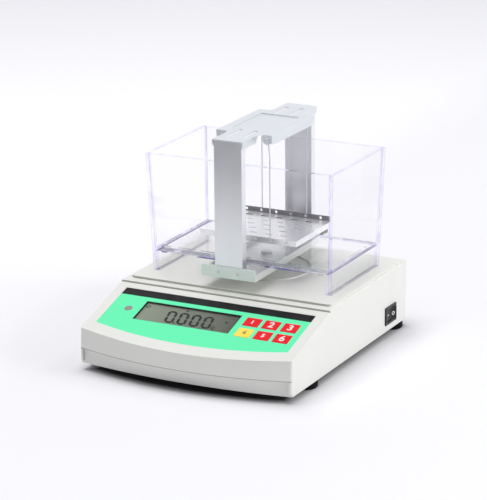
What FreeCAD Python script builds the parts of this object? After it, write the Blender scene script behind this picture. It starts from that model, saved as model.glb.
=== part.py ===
# Benchtop density meter: a precision balance with a water tank and a hanging weighing tray.
#
# Frame: millimetres, +Z up, Z = 0 under the feet, X = 0 on the centre line, Y = 0 midway
# between the bowed front and the back. The front looks towards -Y, the switch is at +X.

import FreeCAD
import Part
import Sketcher
import os
import re

V = FreeCAD.Vector
X_AXIS, Y_AXIS, Z_AXIS = V(1, 0, 0), V(0, 1, 0), V(0, 0, 1)

doc = FreeCAD.newDocument("density_meter")

# ---------------------------------------------------------------- driving sizes

DIMENSIONS = (
    # housing
    ("base_width", 190),
    ("base_depth", 220),
    ("front_bulge", 15.2),
    ("front_bulge_top", 11.7),
    ("front_bulge_bottom", 8.1),
    ("front_lean", 0.9),
    ("foot_height", 6),
    ("parting_height", 12.9),
    ("front_height", 30),
    ("panel_angle", 16.17),
    ("shelf_depth", 68.6),
    ("shelf_height", 50.8),
    ("deck_depth", 77.3),
    ("deck_height", 52.6),
    ("deck_inset", 3),
    ("deck_back", 11),
    ("deck_corner", 5),
    ("case_wall", 2.5),
    ("case_corner", 4),
    ("front_corner", 2),
    ("lower_inset", 1.6),
    ("lower_wall", 2),
    ("lower_floor", 2.2),
    ("case_gap", 0.3),
    ("lip_height", 2.5),
    ("bend_groove", 0.7),
    ("bend_groove_depth", 0.4),
    ("rim_radius", 38.2),
    ("rim_width", 1.6),
    ("rim_height", 1.2),
    ("hub_hole_radius", 11.5),
    # panel on the sloping front, measured up the slope
    ("sheet_margin", 9),
    ("sheet_low", 10.5),
    ("sheet_high", 62.6),
    ("sheet_bow", 11.4),
    ("sheet_thick", 0.5),
    ("sheet_recess", 0.7),
    ("window_side", 36.5),
    ("window_gap", 6.35),
    ("window_low", 22.4),
    ("window_height", 25.7),
    ("display_depth", 2),
    ("display_thick", 5.2),
    ("display_play", 0.2),
    ("display_margin", 3),
    ("board_thick", 1.6),
    ("board_side", 3),
    ("board_low", 7.5),
    ("board_screw_inset", 4),
    ("board_screw_radius", 1.1),
    ("board_screw_head", 2.2),
    ("board_screw_cap", 1.4),
    ("indicator_gap", 11.2),
    ("indicator_up", 35.2),
    ("indicator_radius", 3.4),
    ("key_width", 13.3),
    ("key_length", 11.4),
    ("key_side", 55),
    ("key_first_up", 26.45),
    ("key_pitch_x", 16.75),
    ("key_pitch_up", 15.3),
    ("key_gap", 0.25),
    ("key_proud", 0.2),
    ("key_travel", 0.5),
    ("key_flange", 0.8),
    ("key_clearance", 0.1),
    ("key_stem", 2),
    ("key_stem_length", 0.9),
    ("key_switch_half", 3),
    ("key_switch_gap", 0.2),
    # screws, bosses and boards
    ("screw_radius", 1.5),
    ("screw_head_radius", 2.8),
    ("screw_head", 1.8),
    ("boss_radius", 4),
    ("case_screw_side", 23),
    ("case_screw_front", 13),
    ("case_screw_back", 16),
    ("case_screw_sunk", 1.2),
    ("case_screw_grip", 8),
    ("main_board_width", 120),
    ("main_board_length", 72),
    ("main_board_front", 26),
    ("main_board_inset", 5),
    ("main_board_grip", 4),
    ("standoff_height", 5),
    # load cell and hub
    ("pan_back", 64.1),
    ("cell_length", 130),
    ("cell_width", 30),
    ("cell_height", 22),
    ("cell_waist", 7),
    ("spacer_length", 26),
    ("spacer_height", 8),
    ("cell_screw_inset", 6),
    ("cell_screw_pitch", 14),
    ("cell_clearance", 0.5),
    ("bracket_thick", 5),
    ("bracket_width", 26),
    ("hub_radius", 10),
    ("hub_screw_radius", 2.5),
    ("hub_root", 1.5),
    ("hub_tap_depth", 10),
    ("hub_grip", 8),
    ("cell_grip", 10),
    ("cell_screw_end", 0.5),
    # switch
    ("switch_foot_gap", 6.45),
    ("switch_height", 13.65),
    ("switch_long", 21),
    ("switch_high", 15),
    ("switch_frame", 1.9),
    ("switch_proud", 1.2),
    ("switch_body", 14),
    ("barrel_step", 0.5),
    ("barrel_play", 0.1),
    ("well_inset", 0.3),
    ("well_depth", 8),
    ("rocker_gap", 0.25),
    ("rocker_end_gap", 0.6),
    ("rocker_back", 2.2),
    ("rocker_heel", 3),
    ("rocker_edge", 1.5),
    ("rocker_top", 4.9),
    ("rocker_dip", 3.5),
    ("rocker_tilt", 7),
    ("rocker_pin", 1.2),
    ("pin_depth", 3),
    ("pin_bite", 0.1),
    ("pin_gap", 0.05),
    # power inlet
    ("inlet_side", 37),
    ("inlet_height", 20),
    ("inlet_width", 11),
    ("inlet_bore", 2.9),
    ("inlet_length", 14),
    ("inlet_rim", 1.5),
    ("inlet_plate", 1),
    ("inlet_play", 0.1),
    ("inlet_pin", 1),
    ("inlet_pin_length", 11),
    ("socket_depth", 10.5),
    # levelling feet
    ("foot_side", 0.7),
    ("foot_front", 44),
    ("foot_back", 1.7),
    ("foot_radius", 10.5),
    ("foot_thick", 5),
    ("foot_floor", 1),
    ("foot_chamfer", 0.8),
    ("stud_radius", 3),
    ("stud_length", 19),
    ("bush_wall", 2),
    ("bush_height", 8),
    # stand
    ("stand_length", 135.6),
    ("channel_width", 48.8),
    ("channel_height", 9.7),
    ("channel_sheet", 1.5),
    ("channel_side", 5.8),
    ("channel_lift", 9.7),
    ("channel_reach", 68.8),
    ("post_width", 24.8),
    ("post_flange", 7),
    ("post_sheet", 1.2),
    ("post_screw_x", 8.6),
    ("post_screw_up", 4.9),
    ("post_screw_radius", 0.75),
    ("post_screw_end", 1.5),
    ("beam_height", 124.6),
    ("beam_sheet", 1.2),
    ("beam_play", 0.2),
    ("tongue_skirt", 6.2),
    ("tongue_corner", 3),
    ("tongue_setback", 6),
    ("wing_width", 50.4),
    ("wing_length", 77),
    ("wing_chamfer", 2.6),
    ("wing_skirt", 8),
    ("wing_corner", 4),
    ("fold_root", 0.2),
    ("ear_width", 9),
    ("ear_radius", 4),
    ("ear_hole", 1.3),
    ("press_depth", 0.7),
    ("groove_x", 7),
    ("groove_width", 3.6),
    ("groove_length", 27),
    ("groove_gap", 1.5),
    ("press_width", 35),
    ("press_length", 54),
    # tray and wires
    ("tray_lift", 37),
    ("tray_width", 88),
    ("tray_length", 65.8),
    ("tray_sheet", 0.8),
    ("tray_down", 4.8),
    ("tray_up", 4.2),
    ("slot_length", 7),
    ("slot_width", 2.2),
    ("slot_pitch_x", 13.8),
    ("slot_pitch_y", 11.6),
    ("hole_radius", 1.2),
    ("hole_edge", 2.4),
    ("wire_radius", 0.5),
    ("wire_stand_off", 0.3),
    ("wire_hook", 3.4),
    ("wire_kink", 16),
    ("wire_inset", 2.6),
    ("wire_rise", 3),
    ("wire_end", 1.2),
    # tank
    ("tank_side", 6.9),
    ("tank_length", 101.4),
    ("tank_height", 101.1),
    ("tank_taper_x", 3.4),
    ("tank_taper_y", 4.8),
    ("tank_wall", 3),
    ("tank_floor_lift", 17.2),
    ("strip_thick", 2.6),
)

# Places that follow from the sizes above
PLACES = (
    ("front_y", "(front_bulge - base_depth) / 2"),
    ("back_y", "front_y + base_depth"),
    ("half_width", "base_width / 2"),
    ("shell_z", "foot_height"),
    ("floor_z", "shell_z + lower_floor"),
    ("skirt_z", "shell_z + lip_height"),
    ("parting_z", "shell_z + parting_height"),
    ("edge_z", "shell_z + front_height"),
    ("shelf_z", "shell_z + shelf_height"),
    ("deck_z", "shell_z + deck_height"),
    ("form_top_z", "deck_z + 4"),
    ("panel_y", "front_y + front_lean"),
    ("shelf_y", "front_y + shelf_depth"),
    ("deck_y", "front_y + deck_depth"),
    ("deck_end_y", "back_y - deck_back"),
    ("deck_half", "half_width - deck_inset"),
    ("sheet_half", "half_width - sheet_margin"),
    ("window_left", "half_width - window_side"),
    ("key_first_x", "half_width - key_side"),
    ("window_right", "key_first_x - key_width / 2 - window_gap"),
    ("indicator_x", "0 - window_left - indicator_gap"),
    ("case_screw_x", "half_width - case_screw_side"),
    ("bend_up", "(shelf_y - panel_y) / cos(panel_angle)"),
    ("pan_y", "deck_end_y - pan_back"),
    ("form_share", "(form_top_z - parting_z) / (edge_z - parting_z)"),
    ("form_lean", "front_lean * form_share"),
    ("form_bulge", "front_bulge - (front_bulge - front_bulge_top) * form_share"),
    ("inner_x", "half_width - case_wall - case_gap"),
    ("inner_back_y", "back_y - case_wall - case_gap"),
    ("glass_n", "0 - display_depth"),
    ("board_n", "glass_n - display_thick"),
    ("sheet_top_n", "sheet_thick - sheet_recess"),
    ("key_flange_n", "0 - case_wall - key_clearance"),
    ("key_stem_n", "key_flange_n - key_flange"),
    ("cell_z", "floor_z + spacer_height"),
    ("cell_top_z", "cell_z + cell_height"),
    ("bracket_z", "cell_top_z + cell_clearance"),
    ("channel_z", "deck_z + channel_lift"),
    ("channel_floor_z", "channel_z + channel_sheet"),
    ("beam_z", "deck_z + beam_height"),
    ("arc_share", "1 - sqrt(0.5)"),
    ("beam_under_z", "beam_z - beam_sheet"),
    ("tongue_half", "post_width / 2 + beam_play + beam_sheet"),
    ("post_reach", "channel_reach - channel_sheet"),
    ("tray_z", "deck_z + tray_lift"),
    ("hole_z", "tray_z - hole_edge"),
    ("ear_hole_z", "beam_z - ear_radius"),
    ("ear_x", "wing_width / 2 - ear_width / 2"),
    ("ear_y", "wing_length / 2"),
    ("hole_pitch", "ear_x / 1.5"),
    ("wire_y", "tray_length / 2 + wire_stand_off + wire_radius"),
    ("foot_boss", "stud_radius + 2 * bush_wall"),
    ("foot_x", "inner_x - foot_boss - foot_side"),
    ("foot_front_y", "front_y + foot_front"),
    ("foot_back_y", "inner_back_y - foot_boss - foot_back"),
    ("switch_y", "foot_back_y - foot_boss - switch_foot_gap - switch_long / 2"),
    ("switch_z", "shell_z + switch_height"),
    ("barrel_long", "switch_long / 2 - switch_frame + barrel_step"),
    ("barrel_high", "switch_high / 2 - switch_frame + barrel_step"),
    ("well_long", "switch_long / 2 - switch_frame - well_inset"),
    ("well_high", "switch_high / 2 - switch_frame - well_inset"),
    ("rocker_x", "half_width - pin_depth"),
    ("inlet_x", "inlet_side - half_width"),
    ("inlet_z", "shell_z + inlet_height"),
    ("tank_half", "deck_half - tank_side"),
    ("tank_floor_z", "deck_z + tank_floor_lift"),
    ("tank_top_z", "deck_z + tank_height"),
    ("main_board_y", "front_y + main_board_front"),
    ("main_board_z", "floor_z + standoff_height"),
)

SHEET_OF = {alias: "dims" for alias, _ in DIMENSIONS}
SHEET_OF.update({alias: "places" for alias, _ in PLACES})


def full(text, own_sheet=""):
    """Put the sheet's name before each alias in an expression."""
    def with_sheet(match):
        word = match.group(0)
        sheet = SHEET_OF.get(word, own_sheet)
        return word if sheet == own_sheet else sheet + "." + word
    return re.sub(r"[a-z_][a-z_0-9]*", with_sheet, str(text))


def fill_sheet(name, rows):
    sheet = doc.addObject("Spreadsheet::Sheet", name)
    for row, (alias, content) in enumerate(rows, start=1):
        sheet.set("A%d" % row, alias)
        sheet.set("B%d" % row, content)
        sheet.setAlias("B%d" % row, alias)
    return sheet


dims = fill_sheet("dims", [(alias, str(size)) for alias, size in DIMENSIONS])
places = fill_sheet("places", [(alias, "=" + full(rule, "places")) for alias, rule in PLACES])
doc.recompute()


def value(text):
    """The number that an expression gives now."""
    return float(dims.evalExpression(full(text)))


# ---------------------------------------------------------------- building helpers

POCKETS = []
PARTS = []


def bind(obj, **rules):
    for prop, rule in rules.items():
        obj.setExpression(prop, full(rule))
    return obj


def place(obj, at=("0", "0", "0"), axis=None, angle="0"):
    """Bind an object's place, and its turn about an axis, to the sheets."""
    if axis is not None:
        obj.Placement = FreeCAD.Placement(V(), FreeCAD.Rotation(axis, value(angle)))
        obj.setExpression("Placement.Rotation.Angle", "(%s) * 1 deg" % full(angle))
    for letter, rule in zip("xyz", at):
        obj.setExpression("Placement.Base." + letter, full(rule))
    return obj


def box(name, size, at):
    solid = doc.addObject("Part::Box", name)
    bind(solid, Length=size[0], Width=size[1], Height=size[2])
    return place(solid, at)


def cylinder(name, radius, height, at, axis=None, angle="0"):
    solid = doc.addObject("Part::Cylinder", name)
    bind(solid, Radius=radius, Height=height)
    return place(solid, at, axis, angle)


def fuse(name, *parts):
    solid = doc.addObject("Part::MultiFuse", name)
    solid.Shapes = list(parts)
    solid.Refine = True
    return solid


def cut(name, base, *tools):
    solid = doc.addObject("Part::Cut", name)
    solid.Base = base
    solid.Tool = tools[0] if len(tools) == 1 else fuse(name + "_tools", *tools)
    solid.Refine = True
    return solid


def group(name, parts):
    """Separate solids of one kind, kept together under one name."""
    bundle = doc.addObject("Part::Compound", name)
    bundle.Links = list(parts)
    return bundle


def mirror(name, source, normal, base=("0", "0", "0")):
    copy = doc.addObject("Part::Mirroring", name)
    copy.Source = source
    copy.Normal = normal
    for letter, rule in zip("xyz", base):
        copy.setExpression("Base." + letter, full(rule))
    return copy


def new_body(name, at=("0", "0", "0"), axis=None, angle="0"):
    body = doc.addObject("PartDesign::Body", name)
    return place(body, at, axis, angle)


def sketch(body, plane, name, offset="0"):
    drawing = body.newObject("Sketcher::SketchObject", name)
    support = next(f for f in body.Origin.OriginFeatures if f.Role == plane)
    drawing.AttachmentSupport = [(support, "")]
    drawing.MapMode = "FlatFace"
    drawing.setExpression("AttachmentOffset.Base.z", full(offset))
    return drawing


def add_constraints(drawing, links, rules):
    """Add plain constraints, then (kind, geometry, point, rule) ones that are bound to the sheets."""
    bound = []
    for kind, geometry, point, rule in rules:
        if kind == "Radius":
            bound.append(Sketcher.Constraint(kind, geometry, value(rule)))
        else:
            bound.append(Sketcher.Constraint(kind, -1, 1, geometry, point, value(rule)))
    numbers = drawing.addConstraint(links + bound)
    for number, (_, _, _, rule) in zip(numbers[len(links):], rules):
        drawing.setExpression("Constraints[%d]" % number, full(rule))


def at_point(geometry, point, spot):
    return [("DistanceX", geometry, point, spot[0]), ("DistanceY", geometry, point, spot[1])]


def loop(drawing, corners, arcs=None):
    """A closed outline. arcs maps an edge's number to a point that its arc passes through."""
    arcs = arcs or {}
    spots = [V(value(x), value(y), 0) for x, y in corners]
    first_edge = drawing.GeometryCount
    edges, starts, ends = [], [], []
    for i, start in enumerate(spots):
        end = spots[(i + 1) % len(spots)]
        number = first_edge + i
        clockwise = False
        if i in arcs:
            middle = V(value(arcs[i][0]), value(arcs[i][1]), 0)
            clockwise = (middle - start).cross(end - middle).z < 0
            edges.append(Part.Arc(end, middle, start) if clockwise else Part.Arc(start, middle, end))
        else:
            edges.append(Part.LineSegment(start, end))
        starts.append((number, 2 if clockwise else 1))
        ends.append((number, 1 if clockwise else 2))
    drawing.addGeometry(edges, False)
    links, rules = [], []
    for i, (edge, point) in enumerate(starts):
        links.append(Sketcher.Constraint("Coincident", ends[i - 1][0], ends[i - 1][1], edge, point))
        rules += at_point(edge, point, corners[i])
    for i, spot in arcs.items():
        mark = drawing.addGeometry(Part.Point(V(value(spot[0]), value(spot[1]), 0)), True)
        links.append(Sketcher.Constraint("PointOnObject", mark, 1, first_edge + i))
        rules += at_point(mark, 1, spot)
    add_constraints(drawing, links, rules)


def rectangle(drawing, low, high):
    loop(drawing, [(low[0], low[1]), (high[0], low[1]), (high[0], high[1]), (low[0], high[1])])


def circle(drawing, x, y, radius):
    edge = drawing.addGeometry(Part.Circle(V(value(x), value(y), 0), Z_AXIS, value(radius)))
    add_constraints(drawing, [], at_point(edge, 3, (x, y)) + [("Radius", edge, 0, radius)])


def chain(drawing, spots):
    """An open run of straight lines through the spots."""
    points = [V(value(x), value(y), 0) for x, y in spots]
    first = drawing.addGeometry([Part.LineSegment(a, b) for a, b in zip(points, points[1:])], False)[0]
    links = [Sketcher.Constraint("Coincident", edge, 2, edge + 1, 1)
             for edge in range(first, first + len(points) - 2)]
    rules = at_point(first + len(points) - 2, 2, spots[-1])
    for i, spot in enumerate(spots[:-1]):
        rules += at_point(first + i, 1, spot)
    add_constraints(drawing, links, rules)


def slot(drawing, x, y, length, width):
    """A slot along X with round ends, centred on x, y."""
    left, right = "%s - (%s - %s) / 2" % (x, length, width), "%s + (%s - %s) / 2" % (x, length, width)
    low, high = "%s - %s / 2" % (y, width), "%s + %s / 2" % (y, width)
    far_right, far_left = "%s + %s / 2" % (x, length), "%s - %s / 2" % (x, length)
    loop(drawing, [(left, low), (right, low), (right, high), (left, high)],
         {1: (far_right, y), 3: (far_left, y)})


def pad(body, drawing, name, length, reverse=False, both=False):
    feature = body.newObject("PartDesign::Pad", name)
    feature.Profile = drawing
    feature.Reversed = reverse
    if both:
        feature.Midplane = True
    bind(feature, Length=length)
    drawing.Visibility = False
    body.Tip = feature
    return feature


def pocket(body, drawing, name, length=None, reverse=False, both=False):
    """Cut a sketch away, through everything where no length is given."""
    feature = body.newObject("PartDesign::Pocket", name)
    feature.Profile = drawing
    feature.Reversed = reverse
    if both:
        feature.Midplane = True
    if length is None:
        feature.Type = "ThroughAll"
    else:
        bind(feature, Length=length)
    drawing.Visibility = False
    body.Tip = feature
    POCKETS.append(feature)
    return feature


def pad_face(body, name, length, test):
    """Draw the face of the solid that passes the test straight out."""
    doc.recompute()
    base = body.Tip
    number = next(i for i, face in enumerate(base.Shape.Faces, start=1) if test(face))
    feature = body.newObject("PartDesign::Pad", name)
    feature.Profile = (base, ["Face%d" % number])
    bind(feature, Length=length)
    body.Tip = feature
    return feature


def edges_where(shape, test):
    return ["Edge%d" % (i + 1) for i, edge in enumerate(shape.Edges) if test(edge)]


def fillet(body, name, radius, test):
    doc.recompute()
    base = body.Tip
    feature = body.newObject("PartDesign::Fillet", name)
    feature.Base = (base, edges_where(base.Shape, test))
    bind(feature, Radius=radius)
    body.Tip = feature
    return feature


def direction(edge):
    line = edge.Vertexes[-1].Point - edge.Vertexes[0].Point
    return line.normalize() if line.Length > 1e-6 else V()


def upright(edge):
    return abs(direction(edge).z) > 0.9


def screw(name, at, length, radius="screw_radius", axis=None, angle="0"):
    """A screw: the underside of its chamfered head is at its place, the shank goes down from it."""
    body = new_body(name, at, axis, angle)
    outline = sketch(body, "XZ_Plane", name + "_outline")
    wide, high = ["%s * %s / screw_radius" % (size, radius) for size in ("screw_head_radius", "screw_head")]
    loop(outline, [("0", "0 - (%s)" % length), (radius, "0 - (%s)" % length), (radius, "0"), (wide, "0"),
                   (wide, "(%s) * 0.7" % high), ("(%s) * 0.8" % wide, high), ("0", high)])
    turn = body.newObject("PartDesign::Revolution", name + "_turn")
    turn.Profile = outline
    turn.ReferenceAxis = (outline, ["V_Axis"])
    turn.Angle = 360
    body.Tip = turn
    return body


def part(node, solid):
    """Register a finished piece under the name of its file."""
    solid.Label = node
    PARTS.append(solid)
    return solid


# ---------------------------------------------------------------- housing

def slope_z(y, drop="0"):
    """Height of the sloping front at a depth y, or of a surface that lies drop below it."""
    return "edge_z + (%s - panel_y) * tan(panel_angle) - (%s) / cos(panel_angle)" % (y, drop)


def bowed_plan(drawing, side, front, back, bulge):
    """Plan with straight sides and back and a front that bows out by bulge."""
    loop(drawing, [("0 - (%s)" % side, front), (side, front), (side, back), ("0 - (%s)" % side, back)],
         {0: ("0", "%s - %s" % (front, bulge))})


def case_form(name, inset, skirt_front=None):
    """Body of the upper case, or of the hollow in it that lies inset further in.

    The skirt below it follows its outline, or begins at skirt_front where that is given.
    """
    body = new_body(name)
    side, back = "half_width - %s" % inset, "back_y - %s" % inset
    levels = (("parting_z", "front_y", "front_bulge"),
              ("form_top_z", "front_y + form_lean", "form_bulge"))
    rings = []
    for i, (level, front, bulge) in enumerate(levels):
        ring = sketch(body, "XY_Plane", "%s_ring_%d" % (name, i), level)
        bowed_plan(ring, side, "%s + %s" % (front, inset), back, bulge)
        rings.append(ring)
    loft = body.newObject("PartDesign::AdditiveLoft", name + "_loft")
    loft.Profile = rings[0]
    loft.Sections = [rings[1]]
    loft.Ruled = True
    body.Tip = loft
    if skirt_front is None:
        fillet(body, name + "_front_corners", "front_corner",
               lambda e: upright(e) and e.Vertexes[0].Point.y < value("front_y + form_lean") + 0.1)
        pad_face(body, name + "_skirt", "parting_z - skirt_z",
                 lambda face: abs(face.BoundBox.ZMax - value("parting_z")) < 0.01)
    else:
        skirt = sketch(body, "XY_Plane", name + "_skirt_outline", "parting_z")
        rectangle(skirt, ("0 - (%s)" % side, skirt_front), (side, back))
        pad(body, skirt, name + "_skirt", "parting_z - skirt_z", reverse=True)
    side_view = sketch(body, "YZ_Plane", name + "_side_view")
    far_front, far_back, step = "front_y - front_bulge - 5", "back_y + 5", "shelf_y + %s" % inset
    high = "form_top_z + 5"
    loop(side_view, [(far_front, slope_z(far_front, inset)), (step, slope_z(step, inset)),
                     (step, "shelf_z - %s" % inset), (far_back, "shelf_z - %s" % inset),
                     (far_back, high), (far_front, high)])
    pocket(body, side_view, name + "_slope", "base_width + 10", both=True)
    deck = sketch(body, "XY_Plane", name + "_deck_outline", "shelf_z - %s" % inset)
    rectangle(deck, ("0 - (deck_half - %s)" % inset, "deck_y + %s" % inset),
              ("deck_half - %s" % inset, "deck_end_y - %s" % inset))
    pad(body, deck, name + "_deck", "deck_z - shelf_z")
    return body


def on_panel(name):
    """A body whose XY plane lies on the sloping front: X across, Y up the slope."""
    return new_body(name, ("0", "panel_y", "edge_z"), X_AXIS, "panel_angle")


def panel_box(name, low, high):
    """A block on the slope, from corner low to corner high, as (across, up, out)."""
    body = on_panel(name)
    face = sketch(body, "XY_Plane", name + "_face", low[2])
    rectangle(face, low[:2], high[:2])
    pad(body, face, name + "_block", "%s - (%s)" % (high[2], low[2]))
    return body


def sheet_outline(drawing, play="0"):
    bowed_plan(drawing, "sheet_half + %s" % play, "sheet_low - %s" % play, "sheet_high + %s" % play,
               "sheet_bow")


def key_places():
    for row in range(2):
        for column in range(3):
            yield ("key_first_x + %d * key_pitch_x" % column, "key_first_up + %d * key_pitch_up" % row)


def key_face(drawing, x, up, play="0"):
    rectangle(drawing, ("%s - key_width / 2 - %s" % (x, play), "%s - key_length / 2 - %s" % (up, play)),
              ("%s + key_width / 2 + %s" % (x, play), "%s + key_length / 2 + %s" % (up, play)))


def switch_block(name, depth, long_half, high_half, start_x):
    """A block centred on the switch, from start_x outwards by depth."""
    return box(name, (depth, "2 * (%s)" % long_half, "2 * (%s)" % high_half),
               (start_x, "switch_y - (%s)" % long_half, "switch_z - (%s)" % high_half))


def window_face(drawing, play="0"):
    rectangle(drawing, ("0 - window_left - %s" % play, "window_low - %s" % play),
              ("window_right + %s" % play, "window_low + window_height + %s" % play))


CASE_SCREWS = [(side, y) for side in ("0 - case_screw_x", "case_screw_x")
               for y in ("front_y + case_screw_front", "back_y - case_screw_back")]
BOARD_SCREWS = [(x, up) for x in ("board_screw_inset - sheet_half - board_side",
                                  "sheet_half + board_side - board_screw_inset")
                for up in ("sheet_low + board_low + board_screw_inset", "sheet_high - board_screw_inset")]


def upper_shell():
    outer = case_form("upper_form", "0")
    fillet(outer, "upper_corners", "case_corner",
           lambda e: upright(e) and e.Vertexes[0].Point.y > value("back_y") - 0.1)
    fillet(outer, "deck_corners", "deck_corner",
           lambda e: upright(e) and abs(abs(e.Vertexes[0].Point.x) - value("deck_half")) < 0.1)
    hollow = case_form("upper_hollow", "case_wall", "front_y - 2 * front_bulge")
    shell = cut("upper_case", outer, hollow)

    additions = [shell]
    for i, (x, y) in enumerate(CASE_SCREWS):
        top = slope_z(y, "case_wall / 2") if i % 2 == 0 else "shelf_z - case_wall / 2"
        additions.append(cylinder("case_boss_%d" % i, "boss_radius", "%s - parting_z" % top,
                                  (x, y, "parting_z")))
    for i, (x, up) in enumerate(BOARD_SCREWS):
        boss = on_panel("board_boss_%d" % i)
        face = sketch(boss, "XY_Plane", "board_boss_face_%d" % i, "board_n")
        circle(face, x, up, "boss_radius - 1")
        pad(boss, face, "board_boss_pad_%d" % i, "0 - board_n - case_wall / 2")
        additions.append(boss)
    rim = cylinder("rim_outside", "rim_radius", "rim_height", ("0", "pan_y", "deck_z"))
    rim_hole = cylinder("rim_inside", "rim_radius - rim_width", "rim_height + 2",
                        ("0", "pan_y", "deck_z - 1"))
    additions.append(cut("rim", rim, rim_hole))
    whole = fuse("upper_whole", *additions)

    recess = on_panel("sheet_recess_form")
    face = sketch(recess, "XY_Plane", "sheet_recess_face", "0 - sheet_recess")
    sheet_outline(face, "case_gap / 2")
    pad(recess, face, "sheet_recess_pad", "sheet_recess + 3")
    openings = on_panel("panel_openings")
    face = sketch(openings, "XY_Plane", "panel_openings_face", "board_n + 1")
    window_face(face)
    circle(face, "indicator_x", "indicator_up", "indicator_radius + case_gap / 2")
    for x, up in key_places():
        key_face(face, x, up, "key_gap")
    pad(openings, face, "panel_openings_pad", "0 - board_n + 1")
    seat = panel_box("display_seat", ("0 - window_left - display_margin - display_play",
                                      "window_low - display_margin - display_play", "board_n"),
                     ("window_right + display_margin + display_play",
                      "window_low + window_height + display_margin + display_play", "glass_n + display_play"))
    groove = panel_box("bend_groove_form",
                       ("0 - base_width", "bend_up - bend_groove", "0 - bend_groove_depth"),
                       ("base_width", "bend_up", "3"))
    hub_hole = cylinder("hub_hole", "hub_hole_radius", "20", ("0", "pan_y", "deck_z - 10"))
    switch_hole = switch_block("switch_hole", "20", "barrel_long + barrel_play", "barrel_high + barrel_play",
                               "half_width - 10")
    inlet_hole = box("inlet_hole", ("inlet_width + 2 * inlet_play", "20", "inlet_width + 2 * inlet_play"),
                     ("inlet_x - inlet_width / 2 - inlet_play", "back_y - 10",
                      "inlet_z - inlet_width / 2 - inlet_play"))
    pilots = [cylinder("case_pilot_%d" % i, "screw_radius", "12", (x, y, "parting_z - 1"))
              for i, (x, y) in enumerate(CASE_SCREWS)]
    return part("upper_shell", cut("upper_shell_cut", whole, recess, openings, seat, groove, hub_hole,
                                   switch_hole, inlet_hole, *pilots))


def lower_form(name, inset, bottom, top):
    """Outline of the lower case between two heights, inset from its outer face."""
    body = new_body(name)
    rings = []
    for i, (level, bulge) in enumerate(((bottom, "front_bulge_bottom"), (top, "front_bulge"))):
        ring = sketch(body, "XY_Plane", "%s_ring_%d" % (name, i), level)
        bowed_plan(ring, "half_width - lower_inset - %s" % inset, "front_y + lower_inset + %s" % inset,
                   "inner_back_y - %s" % inset, bulge)
        rings.append(ring)
    loft = body.newObject("PartDesign::AdditiveLoft", name + "_loft")
    loft.Profile = rings[0]
    loft.Sections = [rings[1]]
    loft.Ruled = True
    body.Tip = loft
    return body


FEET = (("front_left", "0 - foot_x", "foot_front_y"), ("front_right", "foot_x", "foot_front_y"),
        ("back_left", "0 - foot_x", "foot_back_y"), ("back_right", "foot_x", "foot_back_y"))
MAIN_BOARD_SCREWS = [(side, y) for side in ("main_board_inset - main_board_width / 2",
                                            "main_board_width / 2 - main_board_inset")
                     for y in ("main_board_y + main_board_inset",
                               "main_board_y + main_board_length - main_board_inset")]


def lower_shell():
    top = "parting_z - case_gap"
    outer = lower_form("lower_form", "0", "shell_z", top)
    cheeks = [box("lower_side_%d" % i, ("40", "base_depth + 2 * front_bulge", "40"),
                  (x, "front_y - front_bulge", "skirt_z - case_gap"))
              for i, x in enumerate(("inner_x", "0 - inner_x - 40"))]
    narrowed = cut("lower_narrow", outer, *cheeks)
    lip = new_body("lower_lip")
    face = sketch(lip, "XY_Plane", "lower_lip_face", "shell_z")
    rectangle(face, ("case_gap - half_width", "front_y + lower_inset"),
              ("half_width - case_gap", "back_y - case_gap"))
    pad(lip, face, "lower_lip_pad", "lip_height - case_gap")
    fillet(lip, "lower_lip_corners", "case_corner",
           lambda e: upright(e) and e.Vertexes[0].Point.y > value("back_y") - 1)
    hollow = lower_form("lower_hollow", "lower_wall", "floor_z", "parting_z + 5")
    hollow_sides = box("lower_hollow_sides", ("2 * (inner_x - lower_wall)", "base_depth - 30", "40"),
                       ("lower_wall - inner_x", "front_y + 12", "floor_z"))
    hollow_core = doc.addObject("Part::MultiCommon", "lower_hollow_core")
    limit = box("lower_hollow_limit", ("2 * (inner_x - lower_wall)", "base_depth * 2", "40"),
                ("lower_wall - inner_x", "front_y - 60", "floor_z"))
    hollow_core.Shapes = [hollow, limit]
    tray_form = cut("lower_tray", fuse("lower_blank", narrowed, lip),
                    fuse("lower_hollow_all", hollow_core, hollow_sides))

    additions = [tray_form]
    for i, (x, y) in enumerate(CASE_SCREWS):
        additions.append(cylinder("case_column_%d" % i, "boss_radius", "parting_z - floor_z",
                                  (x, y, "floor_z")))
    for name, x, y in FEET:
        additions.append(cylinder("foot_boss_" + name, "foot_boss", "bush_height", (x, y, "floor_z")))
    for i, (x, y) in enumerate(MAIN_BOARD_SCREWS):
        additions.append(cylinder("standoff_%d" % i, "boss_radius - 1", "standoff_height", (x, y, "floor_z")))
    whole = fuse("lower_whole", *additions)

    holes = []
    for i, (x, y) in enumerate(CASE_SCREWS):
        holes.append(cylinder("column_bore_%d" % i, "screw_radius + 0.2", "40", (x, y, "shell_z - 1")))
        holes.append(cylinder("column_seat_%d" % i, "screw_head_radius + 0.2",
                              "screw_head + case_screw_sunk + 1", (x, y, "shell_z - 1")))
    for name, x, y in FEET:
        holes.append(cylinder("foot_bore_" + name, "stud_radius + bush_wall", "bush_height + 5",
                              (x, y, "floor_z")))
        holes.append(cylinder("foot_way_" + name, "stud_radius + 0.3", "40", (x, y, "shell_z - 1")))
    for i, (x, y) in enumerate(MAIN_BOARD_SCREWS):
        holes.append(cylinder("standoff_bore_%d" % i, "screw_radius", "40", (x, y, "floor_z")))
    holes.append(box("switch_notch", ("switch_body + 2", "switch_long + 2", "40"),
                     ("half_width - switch_body - 1", "switch_y - switch_long / 2 - 1", "floor_z + 2")))
    holes.append(box("inlet_notch", ("inlet_width + 2", "20", "40"),
                     ("inlet_x - inlet_width / 2 - 1", "back_y - 18", "inlet_z - inlet_width / 2 - 1")))
    return part("lower_shell", cut("lower_shell_cut", whole, *holes))


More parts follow.
